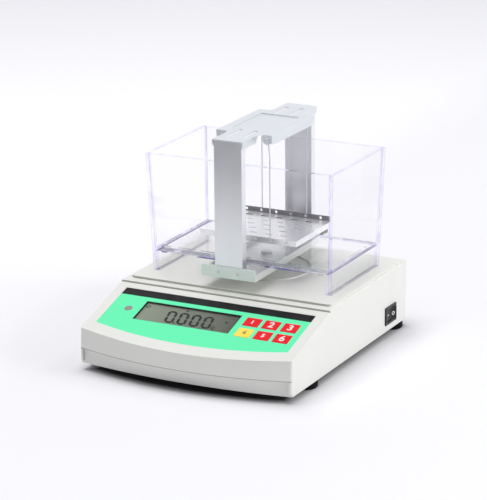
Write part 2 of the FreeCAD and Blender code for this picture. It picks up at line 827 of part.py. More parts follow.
def case_screws():
    seat_z = "shell_z + screw_head + case_screw_sunk"
    length = "parting_z - (%s) + case_screw_grip" % seat_z
    return part("case_screws", group("case_screws", [
        screw("case_screw_%d" % i, (x, y, seat_z), length, axis=X_AXIS, angle="180")
        for i, (x, y) in enumerate(CASE_SCREWS)]))


# ---------------------------------------------------------------- panel

def front_panel():
    body = on_panel("front_panel")
    face = sketch(body, "XY_Plane", "front_panel_face", "0 - sheet_recess")
    sheet_outline(face)
    pad(body, face, "front_panel_pad", "sheet_thick")
    cuts = sketch(body, "XY_Plane", "front_panel_windows", "sheet_top_n")
    window_face(cuts)
    circle(cuts, "indicator_x", "indicator_up", "indicator_radius")
    for x, up in key_places():
        key_face(cuts, x, up, "key_gap")
    pocket(body, cuts, "front_panel_cut")
    return part("front_panel", body)


def display():
    window = panel_box("display_window", ("0 - window_left", "window_low", "0 - sheet_recess"),
                       ("window_right", "window_low + window_height", "sheet_top_n"))
    part("display_window", window)
    module = panel_box("display_module",
                       ("0 - window_left - display_margin", "window_low - display_margin", "board_n"),
                       ("window_right + display_margin",
                        "window_low + window_height + display_margin", "glass_n"))
    part("display_module", module)


def indicator():
    body = on_panel("indicator_lens")
    face = sketch(body, "XY_Plane", "indicator_face", "board_n")
    circle(face, "indicator_x", "indicator_up", "indicator_radius - pin_gap")
    pad(body, face, "indicator_pad", "sheet_top_n - board_n")
    part("indicator_lens", body)


def keys():
    for i, (x, up) in enumerate(key_places()):
        name = "key_%d" % (i + 1)
        body = on_panel(name)
        face = sketch(body, "XY_Plane", name + "_face", "key_flange_n")
        key_face(face, x, up)
        pad(body, face, name + "_cap", "sheet_top_n + key_proud - key_flange_n")
        rim = sketch(body, "XY_Plane", name + "_rim", "key_flange_n")
        key_face(rim, x, up, "key_flange")
        pad(body, rim, name + "_flange", "key_flange", reverse=True)
        stem = sketch(body, "XY_Plane", name + "_stem", "key_stem_n")
        circle(stem, x, up, "key_stem")
        pad(body, stem, name + "_plunger", "key_stem_length", reverse=True)
        part(name, body)


def key_switches():
    """Low switches on the board; each starts just below the travel of its key."""
    top, half = "key_stem_n - key_stem_length - key_travel - key_switch_gap", "key_switch_half"
    parts = []
    for i, (x, up) in enumerate(key_places()):
        parts.append(panel_box("key_switch_%d" % i,
                               ("%s - %s" % (x, half), "%s - %s" % (up, half), "board_n"),
                               ("%s + %s" % (x, half), "%s + %s" % (up, half), top)))
    part("key_switches", group("key_switches", parts))


def display_board():
    body = on_panel("display_board")
    face = sketch(body, "XY_Plane", "display_board_face", "board_n")
    rectangle(face, ("0 - sheet_half - board_side", "sheet_low + board_low"),
              ("sheet_half + board_side", "sheet_high"))
    pad(body, face, "display_board_pad", "board_thick", reverse=True)
    holes = sketch(body, "XY_Plane", "display_board_holes", "board_n")
    for x, up in BOARD_SCREWS:
        circle(holes, x, up, "board_screw_radius")
    pocket(body, holes, "display_board_drill")
    part("display_board", body)
    screws = []
    for i, (x, up) in enumerate(BOARD_SCREWS):
        pin = on_panel("board_screw_%d" % i)
        shank = sketch(pin, "XY_Plane", "board_screw_shank_%d" % i, "board_n")
        circle(shank, x, up, "board_screw_radius")
        pad(pin, shank, "board_screw_pad_%d" % i, "board_thick", reverse=True)
        head = sketch(pin, "XY_Plane", "board_screw_head_%d" % i, "board_n - board_thick")
        circle(head, x, up, "board_screw_head")
        pad(pin, head, "board_screw_cap_%d" % i, "board_screw_cap", reverse=True)
        screws.append(pin)
    part("board_screws", group("board_screws", screws))


def main_board():
    board = box("main_board_plate", ("main_board_width", "main_board_length", "board_thick"),
                ("0 - main_board_width / 2", "main_board_y", "main_board_z"))
    holes = [cylinder("main_board_hole_%d" % i, "screw_radius", "board_thick + 2", (x, y, "main_board_z - 1"))
             for i, (x, y) in enumerate(MAIN_BOARD_SCREWS)]
    part("main_board", cut("main_board_drilled", board, *holes))
    part("main_board_screws", group("main_board_screws", [
        screw("main_board_screw_%d" % i, (x, y, "main_board_z + board_thick"),
              "board_thick + main_board_grip")
        for i, (x, y) in enumerate(MAIN_BOARD_SCREWS)]))


# ---------------------------------------------------------------- switch and inlet

def switch():
    frame = switch_block("switch_bezel", "switch_proud", "switch_long / 2", "switch_high / 2", "half_width")
    barrel = switch_block("switch_barrel", "switch_body", "barrel_long", "barrel_high",
                          "half_width - switch_body")
    well = switch_block("switch_well", "well_depth + switch_proud + 1", "well_long", "well_high",
                        "half_width - well_depth")
    pin_reach = "switch_high / 2 - switch_frame + pin_bite"
    pin_bore = cylinder("switch_pin_bore", "rocker_pin + pin_gap", "2 * (%s + pin_bite)" % pin_reach,
                        ("rocker_x", "switch_y", "switch_z - (%s + pin_bite)" % pin_reach))
    part("switch_frame", cut("switch_frame_cut", fuse("switch_blank", frame, barrel), well, pin_bore))

    rocker = new_body("switch_rocker", ("rocker_x", "switch_y", "switch_z"), Z_AXIS, "0 - rocker_tilt")
    plan = sketch(rocker, "XY_Plane", "rocker_plan")
    end = "well_long - rocker_end_gap"
    loop(plan, [("0 - rocker_back", "0 - rocker_heel"), ("rocker_edge", "0 - (%s)" % end),
                ("rocker_top", "0 - (%s)" % end), ("rocker_top", end), ("rocker_edge", end),
                ("0 - rocker_back", "rocker_heel")],
         {2: ("rocker_dip", "0")})
    pad(rocker, plan, "rocker_pad", "2 * (well_high - rocker_gap)", both=True)
    pin = sketch(rocker, "XY_Plane", "rocker_pin_end")
    circle(pin, "0", "0", "rocker_pin")
    pad(rocker, pin, "rocker_pin_pad", "2 * (%s)" % pin_reach, both=True)
    part("switch_rocker", rocker)


def power_inlet():
    body = box("inlet_block", ("inlet_width", "inlet_length", "inlet_width"),
               ("inlet_x - inlet_width / 2", "back_y - inlet_length", "inlet_z - inlet_width / 2"))
    face = box("inlet_flange", ("inlet_width + 2 * inlet_rim", "inlet_plate", "inlet_width + 2 * inlet_rim"),
               ("inlet_x - inlet_width / 2 - inlet_rim", "back_y", "inlet_z - inlet_width / 2 - inlet_rim"))
    bore = cylinder("inlet_socket_bore", "inlet_bore", "socket_depth + 1",
                    ("inlet_x", "back_y + inlet_plate + 1", "inlet_z"), X_AXIS, "90")
    pin = cylinder("inlet_socket_pin", "inlet_pin", "inlet_pin_length", ("inlet_x", "back_y", "inlet_z"),
                   X_AXIS, "90")
    socket = cut("inlet_socket", fuse("inlet_blank", body, face), bore)
    part("power_inlet", fuse("power_inlet_body", socket, pin))


# ---------------------------------------------------------------- feet

def feet():
    bushes = []
    for name, x, y in FEET:
        sleeve = cylinder("bush_outside_" + name, "stud_radius + bush_wall", "bush_height", (x, y, "floor_z"))
        bore = cylinder("bush_inside_" + name, "stud_radius + pin_gap", "bush_height + 2",
                        (x, y, "floor_z - 1"))
        bushes.append(cut("bush_" + name, sleeve, bore))
        stud = cylinder("stud_" + name, "stud_radius", "stud_length", (x, y, "foot_floor"))
        part("foot_stud_" + name, stud)
        pad_body = new_body("foot_pad_" + name, (x, y, "0"))
        outline = sketch(pad_body, "XZ_Plane", "foot_outline_" + name)
        loop(outline, [("0", "0"), ("foot_radius - foot_chamfer", "0"), ("foot_radius", "foot_chamfer"),
                       ("foot_radius", "foot_thick - foot_chamfer"),
                       ("foot_radius - foot_chamfer", "foot_thick"),
                       ("stud_radius + pin_gap", "foot_thick"), ("stud_radius + pin_gap", "foot_floor"),
                       ("0", "foot_floor")])
        turn = pad_body.newObject("PartDesign::Revolution", "foot_turn_" + name)
        turn.Profile = outline
        turn.ReferenceAxis = (outline, ["V_Axis"])
        turn.Angle = 360
        pad_body.Tip = turn
        part("foot_pad_" + name, pad_body)
    part("foot_bushes", group("foot_bushes", bushes))


# ---------------------------------------------------------------- load cell

CELL_FIXED_X = ["0 - cell_length / 2 + cell_screw_inset",
                "0 - cell_length / 2 + cell_screw_inset + cell_screw_pitch"]
CELL_FREE_X = ["cell_length / 2 - cell_screw_inset", "cell_length / 2 - cell_screw_inset - cell_screw_pitch"]


def load_cell():
    body = new_body("load_cell", ("0", "pan_y", "cell_z"))
    face = sketch(body, "XZ_Plane", "load_cell_face")
    rectangle(face, ("0 - cell_length / 2", "0"), ("cell_length / 2", "cell_height"))
    pad(body, face, "load_cell_bar", "cell_width", both=True)
    waist = sketch(body, "XZ_Plane", "load_cell_waist")
    low, high, reach = "cell_height / 2 - cell_waist", "cell_height / 2 + cell_waist", "cell_length / 6"
    loop(waist, [("0 - %s" % reach, low), (reach, low), (reach, high), ("0 - %s" % reach, high)],
         {1: ("%s + cell_waist" % reach, "cell_height / 2"),
          3: ("0 - %s - cell_waist" % reach, "cell_height / 2")})
    pocket(body, waist, "load_cell_cut", "cell_width + 2", both=True)
    taps = sketch(body, "XY_Plane", "load_cell_taps")
    for x in CELL_FIXED_X + CELL_FREE_X:
        circle(taps, x, "0", "screw_radius + 0.1")
    pocket(body, taps, "load_cell_drill", "cell_height", reverse=True)
    part("load_cell", body)

    spacer = box("spacer_block", ("spacer_length", "cell_width", "spacer_height"),
                 ("0 - cell_length / 2", "pan_y - cell_width / 2", "floor_z"))
    holes = [cylinder("spacer_hole_%d" % i, "screw_radius + 0.1", "spacer_height + 2",
                      (x, "pan_y", "floor_z - 1"))
             for i, x in enumerate(CELL_FIXED_X)]
    part("cell_spacer", cut("cell_spacer_cut", spacer, *holes))
    part("cell_screws", group("cell_screws", [
        screw("cell_screw_%d" % i, (x, "pan_y", "cell_top_z"), "cell_height + spacer_height - cell_screw_end")
        for i, x in enumerate(CELL_FIXED_X)]))


def hub_bracket():
    body = new_body("hub_bracket", ("0", "pan_y", "bracket_z"))
    plan = sketch(body, "XY_Plane", "bracket_plan")
    end, half = "cell_length / 2", "bracket_width / 2"
    loop(plan, [("0", "0 - %s" % half), (end, "0 - %s" % half), (end, half), ("0", half)],
         {3: ("0 - %s" % half, "0")})
    pad(body, plan, "bracket_plate", "bracket_thick")
    hub = sketch(body, "XY_Plane", "hub_face", "bracket_thick")
    circle(hub, "0", "0", "hub_radius")
    pad(body, hub, "hub_pad", "channel_z - bracket_z - bracket_thick")
    tap = sketch(body, "XY_Plane", "hub_tap", "channel_z - bracket_z")
    circle(tap, "0", "0", "hub_screw_radius")
    pocket(body, tap, "hub_tap_cut", "hub_tap_depth")
    holes = sketch(body, "XY_Plane", "bracket_holes", "bracket_thick")
    for x in CELL_FREE_X:
        circle(holes, x, "0", "screw_radius")
    pocket(body, holes, "bracket_drill", "bracket_thick")
    fillet(body, "hub_root_fillet", "hub_root",
           lambda e: e.Closed and abs(e.BoundBox.ZMin - value("bracket_thick")) < 0.01
           and abs(e.BoundBox.XLength - value("2 * hub_radius")) < 0.01)
    part("hub_bracket", body)
    plate_top = "bracket_z + bracket_thick"
    screws = [screw("bracket_screw_%d" % i, (x, "pan_y", plate_top), "bracket_thick + cell_grip")
              for i, x in enumerate(CELL_FREE_X)]
    screws.append(screw("hub_screw", ("0", "pan_y", "channel_floor_z"), "channel_sheet + hub_grip",
                        "hub_screw_radius"))
    part("bracket_screws", group("bracket_screws", screws))


# ---------------------------------------------------------------- stand

def bottom_channel():
    body = new_body("bottom_channel", ("0", "pan_y", "channel_z"))
    section = sketch(body, "XZ_Plane", "channel_section")
    half, sheet = "channel_width / 2", "channel_sheet"
    loop(section, [("0 - %s" % half, "0"), (half, "0"), (half, "channel_side"),
                   ("%s - %s" % (half, sheet), "channel_side"), ("%s - %s" % (half, sheet), sheet),
                   ("%s - %s" % (sheet, half), sheet), ("%s - %s" % (sheet, half), "channel_side"),
                   ("0 - %s" % half, "channel_side")])
    pad(body, section, "channel_trough", "2 * channel_reach", both=True)
    for name, start, reverse in (("front", "channel_reach", True), ("back", "0 - channel_reach", False)):
        flange = sketch(body, "XZ_Plane", "channel_%s_face" % name, start)
        rectangle(flange, ("0 - %s" % half, "0"), (half, "channel_height"))
        pad(body, flange, "channel_%s_flange" % name, sheet, reverse=reverse)
    holes = sketch(body, "XZ_Plane", "channel_screw_holes")
    for x in ("0 - post_screw_x", "post_screw_x"):
        circle(holes, x, "post_screw_up", "post_screw_radius")
    pocket(body, holes, "channel_screw_cut", "2 * channel_reach + 4", both=True)
    hole = sketch(body, "XY_Plane", "channel_hub_hole", sheet)
    circle(hole, "0", "0", "hub_screw_radius")
    pocket(body, hole, "channel_hub_cut", sheet)
    return part("bottom_channel", body)


def post(name, turn):
    body = new_body(name, ("0", "pan_y", "channel_floor_z"), Z_AXIS, turn)
    section = sketch(body, "XY_Plane", name + "_section")
    half, sheet, front = "post_width / 2", "post_sheet", "0 - post_reach"
    back = "post_flange - post_reach"
    loop(section, [("0 - %s" % half, front), (half, front), (half, back), ("%s - %s" % (half, sheet), back),
                   ("%s - %s" % (half, sheet), "%s + %s" % (front, sheet)),
                   ("%s - %s" % (sheet, half), "%s + %s" % (front, sheet)),
                   ("%s - %s" % (sheet, half), back), ("0 - %s" % half, back)])
    pad(body, section, name + "_pad", "beam_under_z - channel_floor_z")
    holes = sketch(body, "XZ_Plane", name + "_holes", "post_reach")
    for x in ("0 - post_screw_x", "post_screw_x"):
        circle(holes, x, "post_screw_up - channel_sheet", "post_screw_radius")
    pocket(body, holes, name + "_drill", sheet)
    return part(name, body)


def post_screws():
    screws = []
    for end, angle, y in (("front", "90", "pan_y - channel_reach"),
                          ("back", "0 - 90", "pan_y + channel_reach")):
        for side, x in (("left", "0 - post_screw_x"), ("right", "post_screw_x")):
            screws.append(screw("post_screw_%s_%s" % (end, side), (x, y, "channel_z + post_screw_up"),
                                "channel_sheet + post_sheet + post_screw_end", "post_screw_radius",
                                X_AXIS, angle))
    return part("post_screws", group("post_screws", screws))


# ---------------------------------------------------------------- beam, wires and tray

def top_beam():
    body = new_body("top_beam", ("0", "pan_y", "beam_under_z"))
    half, tongue, wing, shoulder = "stand_length / 2", "tongue_half", "wing_width / 2", "wing_length / 2"
    quarter = [(tongue, "0 - %s" % half), (tongue, "0 - %s - wing_chamfer" % shoulder),
               ("%s + wing_chamfer" % tongue, "0 - %s" % shoulder), (wing, "0 - %s" % shoulder)]
    right = quarter + [(x, "0 - (%s)" % y) for x, y in reversed(quarter)]
    left = [("0 - (%s)" % x, "0 - (%s)" % y) for x, y in right]
    plan = sketch(body, "XY_Plane", "beam_plan")
    loop(plan, right + left)
    pad(body, plan, "beam_plate", "beam_sheet")

    press = sketch(body, "XY_Plane", "beam_press_under")
    rectangle(press, ("0 - press_width / 2 - beam_sheet / 2", "0 - press_length / 2 - beam_sheet / 2"),
              ("press_width / 2 + beam_sheet / 2", "press_length / 2 + beam_sheet / 2"))
    pad(body, press, "beam_press_bulge", "press_depth", reverse=True)
    dish = sketch(body, "XY_Plane", "beam_press_top", "beam_sheet")
    rectangle(dish, ("0 - press_width / 2", "0 - press_length / 2"), ("press_width / 2", "press_length / 2"))
    pocket(body, dish, "beam_press_dish", "press_depth")
    grooves = [(x, "%s * (press_length / 2 + groove_length / 2 + groove_gap)" % way)
               for x in ("0 - groove_x", "groove_x") for way in ("0 - 1", "1")]
    for i, (x, y) in enumerate(grooves):
        under = sketch(body, "XY_Plane", "groove_under_%d" % i)
        rectangle(under, ("%s - groove_width / 2 - beam_sheet / 2" % x, "%s - groove_length / 2" % y),
                  ("%s + groove_width / 2 + beam_sheet / 2" % x, "%s + groove_length / 2" % y))
        pad(body, under, "groove_bulge_%d" % i, "press_depth", reverse=True)
    top = sketch(body, "XY_Plane", "groove_tops", "beam_sheet")
    for x, y in grooves:
        rectangle(top, ("%s - groove_width / 2" % x, "%s - groove_length / 2 + beam_sheet / 2" % y),
                  ("%s + groove_width / 2" % x, "%s + groove_length / 2 - beam_sheet / 2" % y))
    pocket(body, top, "groove_cut", "press_depth")

    folds = []
    skirt = sketch(body, "YZ_Plane", "tongue_skirts", "%s - beam_sheet" % tongue)
    low = "beam_sheet - tongue_skirt"
    for way in ("0 - 1", "1"):
        end = "%s * (%s)" % (way, half)
        loop(skirt, [(end, "fold_root"), (end, low + " + tongue_corner"),
                     ("%s * (%s - tongue_corner)" % (way, half), low),
                     ("%s * (%s + tongue_setback)" % (way, shoulder), low),
                     ("%s * (%s + wing_chamfer)" % (way, shoulder), "fold_root")],
             {1: ("%s * (%s - tongue_corner * arc_share)" % (way, half),
                  low + " + tongue_corner * arc_share")})
    folds.append(pad(body, skirt, "tongue_skirt_pad", "beam_sheet"))
    wing_skirt = sketch(body, "YZ_Plane", "wing_skirt", "%s - beam_sheet" % wing)
    low = "beam_sheet - wing_skirt"
    loop(wing_skirt, [("0 - %s" % shoulder, "fold_root"), ("0 - %s" % shoulder, low + " + wing_corner"),
                      ("wing_corner - %s" % shoulder, low), ("%s - wing_corner" % shoulder, low),
                      (shoulder, low + " + wing_corner"), (shoulder, "fold_root")],
         {1: ("wing_corner * arc_share - %s" % shoulder, low + " + wing_corner * arc_share"),
          3: ("%s - wing_corner * arc_share" % shoulder, low + " + wing_corner * arc_share")})
    folds.append(pad(body, wing_skirt, "wing_skirt_pad", "beam_sheet"))
    for name, start, reverse in (("front", shoulder, True), ("back", "0 - %s" % shoulder, False)):
        ear = sketch(body, "XZ_Plane", "ear_%s" % name, start)
        inner, outer, drop = "ear_x - ear_radius", "ear_x + ear_radius", "beam_sheet - ear_radius"
        loop(ear, [(inner, "fold_root"), (inner, drop), (outer, drop), (outer, "fold_root")],
             {1: ("ear_x", "%s - ear_radius" % drop)})
        folds.append(pad(body, ear, "ear_%s_pad" % name, "beam_sheet", reverse=reverse))
    mirrored = body.newObject("PartDesign::Mirrored", "beam_other_side")
    mirrored.Originals = folds
    plane = next(f for f in body.Origin.OriginFeatures if f.Role == "YZ_Plane")
    mirrored.MirrorPlane = (plane, [""])
    body.Tip = mirrored
    holes = sketch(body, "XZ_Plane", "ear_holes")
    for x in ("0 - ear_x", "ear_x"):
        circle(holes, x, "beam_sheet - ear_radius", "ear_hole")
    pocket(body, holes, "ear_hole_cut", "%s * 2 + 2" % shoulder, both=True)
    return part("top_beam", body)


def hanger_wires():
    """Each wire hooks through an ear above and through a flange hole of the tray below."""
    body = new_body("wire", ("0", "pan_y", "0"))
    route = [("wire_hook - wire_y", "hole_z"), ("0 - wire_y", "hole_z"),
             ("0 - wire_y", "ear_hole_z - wire_kink"), ("wire_inset - ear_y", "ear_hole_z - wire_rise"),
             ("wire_inset - ear_y", "ear_hole_z"), ("0 - ear_y - wire_end", "ear_hole_z")]
    path = sketch(body, "YZ_Plane", "wire_path", "ear_x")
    chain(path, route)
    end_face = sketch(body, "XZ_Plane", "wire_section", "wire_y - wire_hook")
    circle(end_face, "ear_x", "hole_z", "wire_radius")
    pipe = body.newObject("PartDesign::AdditivePipe", "wire_pipe")
    pipe.Profile = end_face
    pipe.Spine = (path, [])
    pipe.Transition = "Right corner"
    body.Tip = pipe
    pair = group("front_wires", [body, mirror("wire_left", body, X_AXIS)])
    doc.recompute()
    rear = mirror("rear_wires", pair, Y_AXIS, ("0", "pan_y", "0"))
    return part("hanger_wires", group("hanger_wires", [pair, rear]))


def tray():
    body = new_body("tray", ("0", "pan_y", "tray_z"))
    half, deep = "tray_width / 2", "tray_length / 2"
    plan = sketch(body, "XY_Plane", "tray_plan")
    rectangle(plan, ("0 - %s" % half, "0 - %s" % deep), (half, deep))
    pad(body, plan, "tray_plate", "tray_sheet", reverse=True)
    sides = sketch(body, "XY_Plane", "tray_side_plan")
    for low, high in (("0 - %s" % half, "tray_sheet - %s" % half), ("%s - tray_sheet" % half, half)):
        rectangle(sides, (low, "0 - %s" % deep), (high, deep))
    pad(body, sides, "tray_side_flanges", "tray_down", reverse=True)
    front = sketch(body, "XY_Plane", "tray_front_plan")
    rectangle(front, ("0 - %s" % half, "0 - %s" % deep), (half, "tray_sheet - %s" % deep))
    pad(body, front, "tray_front_flange", "tray_down", reverse=True)
    rear = sketch(body, "XY_Plane", "tray_rear_plan", "0 - tray_sheet")
    rectangle(rear, ("0 - %s" % half, "%s - tray_sheet" % deep), (half, deep))
    pad(body, rear, "tray_rear_flange", "tray_up + tray_sheet")
    for row in range(-2, 3):
        slots = sketch(body, "XY_Plane", "tray_slots_%d" % (row + 2))
        y, shift = "%d * slot_pitch_y" % row, 0.5 * (row % 2)
        for column in range(-2, 3 - (row % 2)):
            slot(slots, "%g * slot_pitch_x" % (column + shift), y, "slot_length", "slot_width")
        for x in ("0 - 2.6 * slot_pitch_x", "2.6 * slot_pitch_x") if shift else ():
            circle(slots, x, y, "hole_radius")
        pocket(body, slots, "tray_slot_cut_%d" % (row + 2), "tray_sheet + 0.5")
    front_holes = sketch(body, "XZ_Plane", "tray_front_holes", "%s + 1" % deep)
    rear_holes = sketch(body, "XZ_Plane", "tray_rear_holes", "0 - %s - 1" % deep)
    for column in range(6):
        x = "%g * hole_pitch" % (column - 2.5)
        circle(front_holes, x, "0 - hole_edge", "hole_radius")
        circle(rear_holes, x, "hole_edge - tray_sheet / 2", "hole_radius")
    pocket(body, front_holes, "tray_front_cut", "4")
    pocket(body, rear_holes, "tray_rear_cut", "4", reverse=True)
    return part("tray", body)


# ---------------------------------------------------------------- tank

def tank_panel(name, low_z, high_z, x_rule, y_rule):
    """A panel of the tank. x_rule and y_rule give its two sides at a share of the tank's height."""
    panel = doc.addObject("Part::Wedge", name)
    low_share = "(%s - deck_z) / tank_height" % low_z
    high_share = "(%s - deck_z) / tank_height" % high_z
    (x_low, x_high), (y_low, y_high) = x_rule(low_share), y_rule(low_share)
    (x2_low, x2_high), (y2_low, y2_high) = x_rule(high_share), y_rule(high_share)
    bind(panel, Xmin=x_low, Xmax=x_high, X2min=x2_low, X2max=x2_high,
         Zmin="0 - (%s)" % y_high, Zmax="0 - (%s)" % y_low,
         Z2min="0 - (%s)" % y2_high, Z2max="0 - (%s)" % y2_low,
         Ymin="0", Ymax="%s - (%s)" % (high_z, low_z))
    place(panel, ("0", "pan_y", low_z), X_AXIS, "90")
    return panel


def tank_x(share, inset="0"):
    return "tank_half - tank_taper_x * (1 - %s) - (%s)" % (share, inset)


def tank_y(share, inset="0"):
    return "tank_length / 2 - tank_taper_y * (1 - %s) - (%s)" % (share, inset)


def tank():
    def full_y(share):
        return "0 - (%s)" % tank_y(share), tank_y(share)

    def inner_x(share):
        return "0 - (%s)" % tank_x(share, "tank_wall"), tank_x(share, "tank_wall")

    def inner_y(share):
        return "0 - (%s)" % tank_y(share, "tank_wall"), tank_y(share, "tank_wall")

    def right_x(share):
        return tank_x(share, "tank_wall"), tank_x(share)

    def left_x(share):
        return "0 - (%s)" % tank_x(share), "0 - (%s)" % tank_x(share, "tank_wall")

    def back_y_range(share):
        return tank_y(share, "tank_wall"), tank_y(share)

    def front_y_range(share):
        return "0 - (%s)" % tank_y(share), "0 - (%s)" % tank_y(share, "tank_wall")

    def right_strip_x(share):
        return tank_x(share, "tank_wall + strip_thick"), tank_x(share, "tank_wall")

    def left_strip_x(share):
        return "0 - (%s)" % tank_x(share, "tank_wall"), "0 - (%s)" % tank_x(share, "tank_wall + strip_thick")

    part("tank_right_wall", tank_panel("tank_right", "deck_z", "tank_top_z", right_x, full_y))
    part("tank_left_wall", tank_panel("tank_left", "deck_z", "tank_top_z", left_x, full_y))
    part("tank_front_wall", tank_panel("tank_front", "tank_floor_z", "tank_top_z", inner_x, front_y_range))
    part("tank_back_wall", tank_panel("tank_back", "tank_floor_z", "tank_top_z", inner_x, back_y_range))
    part("tank_floor", tank_panel("tank_base", "tank_floor_z", "tank_floor_z + tank_wall", inner_x, inner_y))
    part("tank_support_strips", group("tank_support_strips", [
        tank_panel("tank_strip_right", "deck_z", "tank_floor_z", right_strip_x, full_y),
        tank_panel("tank_strip_left", "deck_z", "tank_floor_z", left_strip_x, full_y)]))


# ---------------------------------------------------------------- assembly

upper_shell()
lower_shell()
case_screws()
front_panel()
display()
indicator()
keys()
key_switches()
display_board()
main_board()
switch()
power_inlet()
feet()
load_cell()
hub_bracket()
bottom_channel()
post("front_post", "0")
post("rear_post", "180")
post_screws()
top_beam()
hanger_wires()
tray()
tank()
doc.recompute()

for obj in doc.Objects:
    if "Invalid" in obj.State or "Error" in obj.State:
        raise RuntimeError("%s failed: %s" % (obj.Name, obj.getStatusString()))
for feature in POCKETS:
    if feature.Shape.Volume >= feature.BaseFeature.Shape.Volume - 1e-6:
        raise RuntimeError("%s cuts nothing" % feature.Name)
for solid in PARTS:
    if solid.Shape.isNull() or not solid.Shape.isValid() or not solid.Shape.Solids:
        raise RuntimeError("%s has no valid solid" % solid.Label)

os.makedirs("parts", exist_ok=True)
for solid in PARTS:
    solid.Shape.exportStep("parts/%s.step" % solid.Label)
    print("%-26s %d solid(s) %10.1f mm3" % (solid.Label, len(solid.Shape.Solids), solid.Shape.Volume))
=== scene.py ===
# %% [markdown]
# # A benchtop density meter, dressed for its picture
#
# The object is a small precision balance. Its moulded case has a sloping front with a printed film, a
# display and six keys. A sheet-metal stand rises from the deck, carries a beam on two posts and hangs a
# perforated tray on four wires inside a clear water tank.
#
# These cells give it its camera, its light, its finishes and the small pieces that a solid model leaves
# out, such as the digits of the display and the cement in the corners of the tank.

# %% Load the model
import math

import bmesh
import bpy
from mathutils import Matrix, Vector


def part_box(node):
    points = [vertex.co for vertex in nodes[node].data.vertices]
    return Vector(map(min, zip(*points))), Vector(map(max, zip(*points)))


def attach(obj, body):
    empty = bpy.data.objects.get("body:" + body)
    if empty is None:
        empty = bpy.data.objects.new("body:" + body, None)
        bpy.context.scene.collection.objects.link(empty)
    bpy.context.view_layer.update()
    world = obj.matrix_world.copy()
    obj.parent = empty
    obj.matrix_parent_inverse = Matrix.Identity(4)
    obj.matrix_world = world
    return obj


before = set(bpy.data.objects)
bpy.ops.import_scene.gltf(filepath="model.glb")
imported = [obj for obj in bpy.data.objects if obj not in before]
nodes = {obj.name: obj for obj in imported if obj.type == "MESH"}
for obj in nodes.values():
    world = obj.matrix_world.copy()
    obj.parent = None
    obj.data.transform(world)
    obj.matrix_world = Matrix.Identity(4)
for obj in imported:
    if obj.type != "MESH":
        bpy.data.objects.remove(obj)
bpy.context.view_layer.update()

# %% [markdown]
# ## The camera
#
# A long lens far away keeps the edges of the case nearly parallel, so that its form is easy to read.
# The camera could be aimed with a tracking constraint, but a matrix of its three directions says exactly
# where it looks and how little it is rolled, and leaves nothing to solve.

# %% Camera
MM = 0.001
CAMERA_PLACE = Vector((0.92118, -1.76756, 0.69181))
CAMERA_YAW = 0.48015
CAMERA_PITCH = 0.29535
CAMERA_ROLL = -0.00953
CAMERA_LENS = 188.84

forward = Vector((-math.sin(CAMERA_YAW) * math.cos(CAMERA_PITCH),
                  math.cos(CAMERA_YAW) * math.cos(CAMERA_PITCH),
                  -math.sin(CAMERA_PITCH)))
level_right = Vector((math.cos(CAMERA_YAW), math.sin(CAMERA_YAW), 0))
level_up = level_right.cross(forward)
right = math.cos(CAMERA_ROLL) * level_right + math.sin(CAMERA_ROLL) * level_up
up = math.cos(CAMERA_ROLL) * level_up - math.sin(CAMERA_ROLL) * level_right

camera_data = bpy.data.cameras.new("camera")
camera_data.lens = CAMERA_LENS
camera_data.sensor_width = 36
camera_data.sensor_fit = "HORIZONTAL"
camera_data.clip_end = 20
camera = bpy.data.objects.new("camera", camera_data)
camera.matrix_world = Matrix.Translation(CAMERA_PLACE) @ Matrix((right, up, -forward)).transposed().to_4x4()
bpy.context.scene.collection.objects.link(camera)
bpy.context.scene.camera = camera
print("camera at", [round(c, 3) for c in CAMERA_PLACE])

# %% [markdown]
# ## Colours and nodes
#
# Paint charts give colours as 0 to 255 in a display's scale, and shaders want them linear. One helper turns
# the first into the second, so every colour below can be read like a paint chart. The other helpers place a
# shader node with its values in one line, and let a sum of node values be written with plus, times and so on.

# %% Colour and node helpers
bpy.context.scene.view_settings.view_transform = "Standard"


def tone(red, green, blue):
    """A linear colour from a paint chart's red, green and blue."""
    def linear(part):
        part = part / 255
        return part / 12.92 if part <= 0.04045 else ((part + 0.055) / 1.055) ** 2.4
    return (linear(red), linear(green), linear(blue), 1)


def feed(socket, value):
    """Gives an input a value, or a link from another node's output."""
    if isinstance(value, bpy.types.NodeSocket):
        socket.id_data.links.new(value, socket)
    else:
        socket.default_value = value


def fill(node, **values):
    """Feeds a node's inputs by their names, with _ for a space, and returns the node."""
    for label, value in values.items():
        feed(node.inputs[label.replace("_", " ")], value)
    return node


def put(tree, kind, **values):
    return fill(tree.nodes.new("ShaderNode" + kind), **values)


def feed_all(node, *values):
    """Feeds a node's inputs in their order and returns its outputs."""
    for socket, value in zip(node.inputs, values):
        feed(socket, value)
    return node.outputs


def put_maths(tree, kind, operation, *values):
    made = put(tree, kind)
    made.operation = operation
    return feed_all(made, *values)


def maths(operation):
    """A function that gives a Math node's output. It takes more than two values from the left."""
    def of(*values):
        tree = next(value.id_data for value in values if isinstance(value, bpy.types.NodeSocket))
        first = put_maths(tree, "Math", operation, *values[:2])[0]
        return of(first, *values[2:]) if values[2:] else first
    return of


plus, minus, times, over = (maths(name) for name in ("ADD", "SUBTRACT", "MULTIPLY", "DIVIDE"))
most, least, below, above = (maths(name) for name in ("MAXIMUM", "MINIMUM", "LESS_THAN", "GREATER_THAN"))
size_of, whole, root = (maths(name) for name in ("ABSOLUTE", "ROUND", "SQRT"))


def apart(first, second):
    return size_of(minus(first, second))


def blend_of(tree, share, first, second):
    """A colour between two, by a share from 0 to 1."""
    made = tree.nodes.new("ShaderNodeMix")
    made.data_type = "RGBA"
    for place, value in ((0, share), (6, first), (7, second)):
        feed(made.inputs[place], value)
    return made.outputs[2]


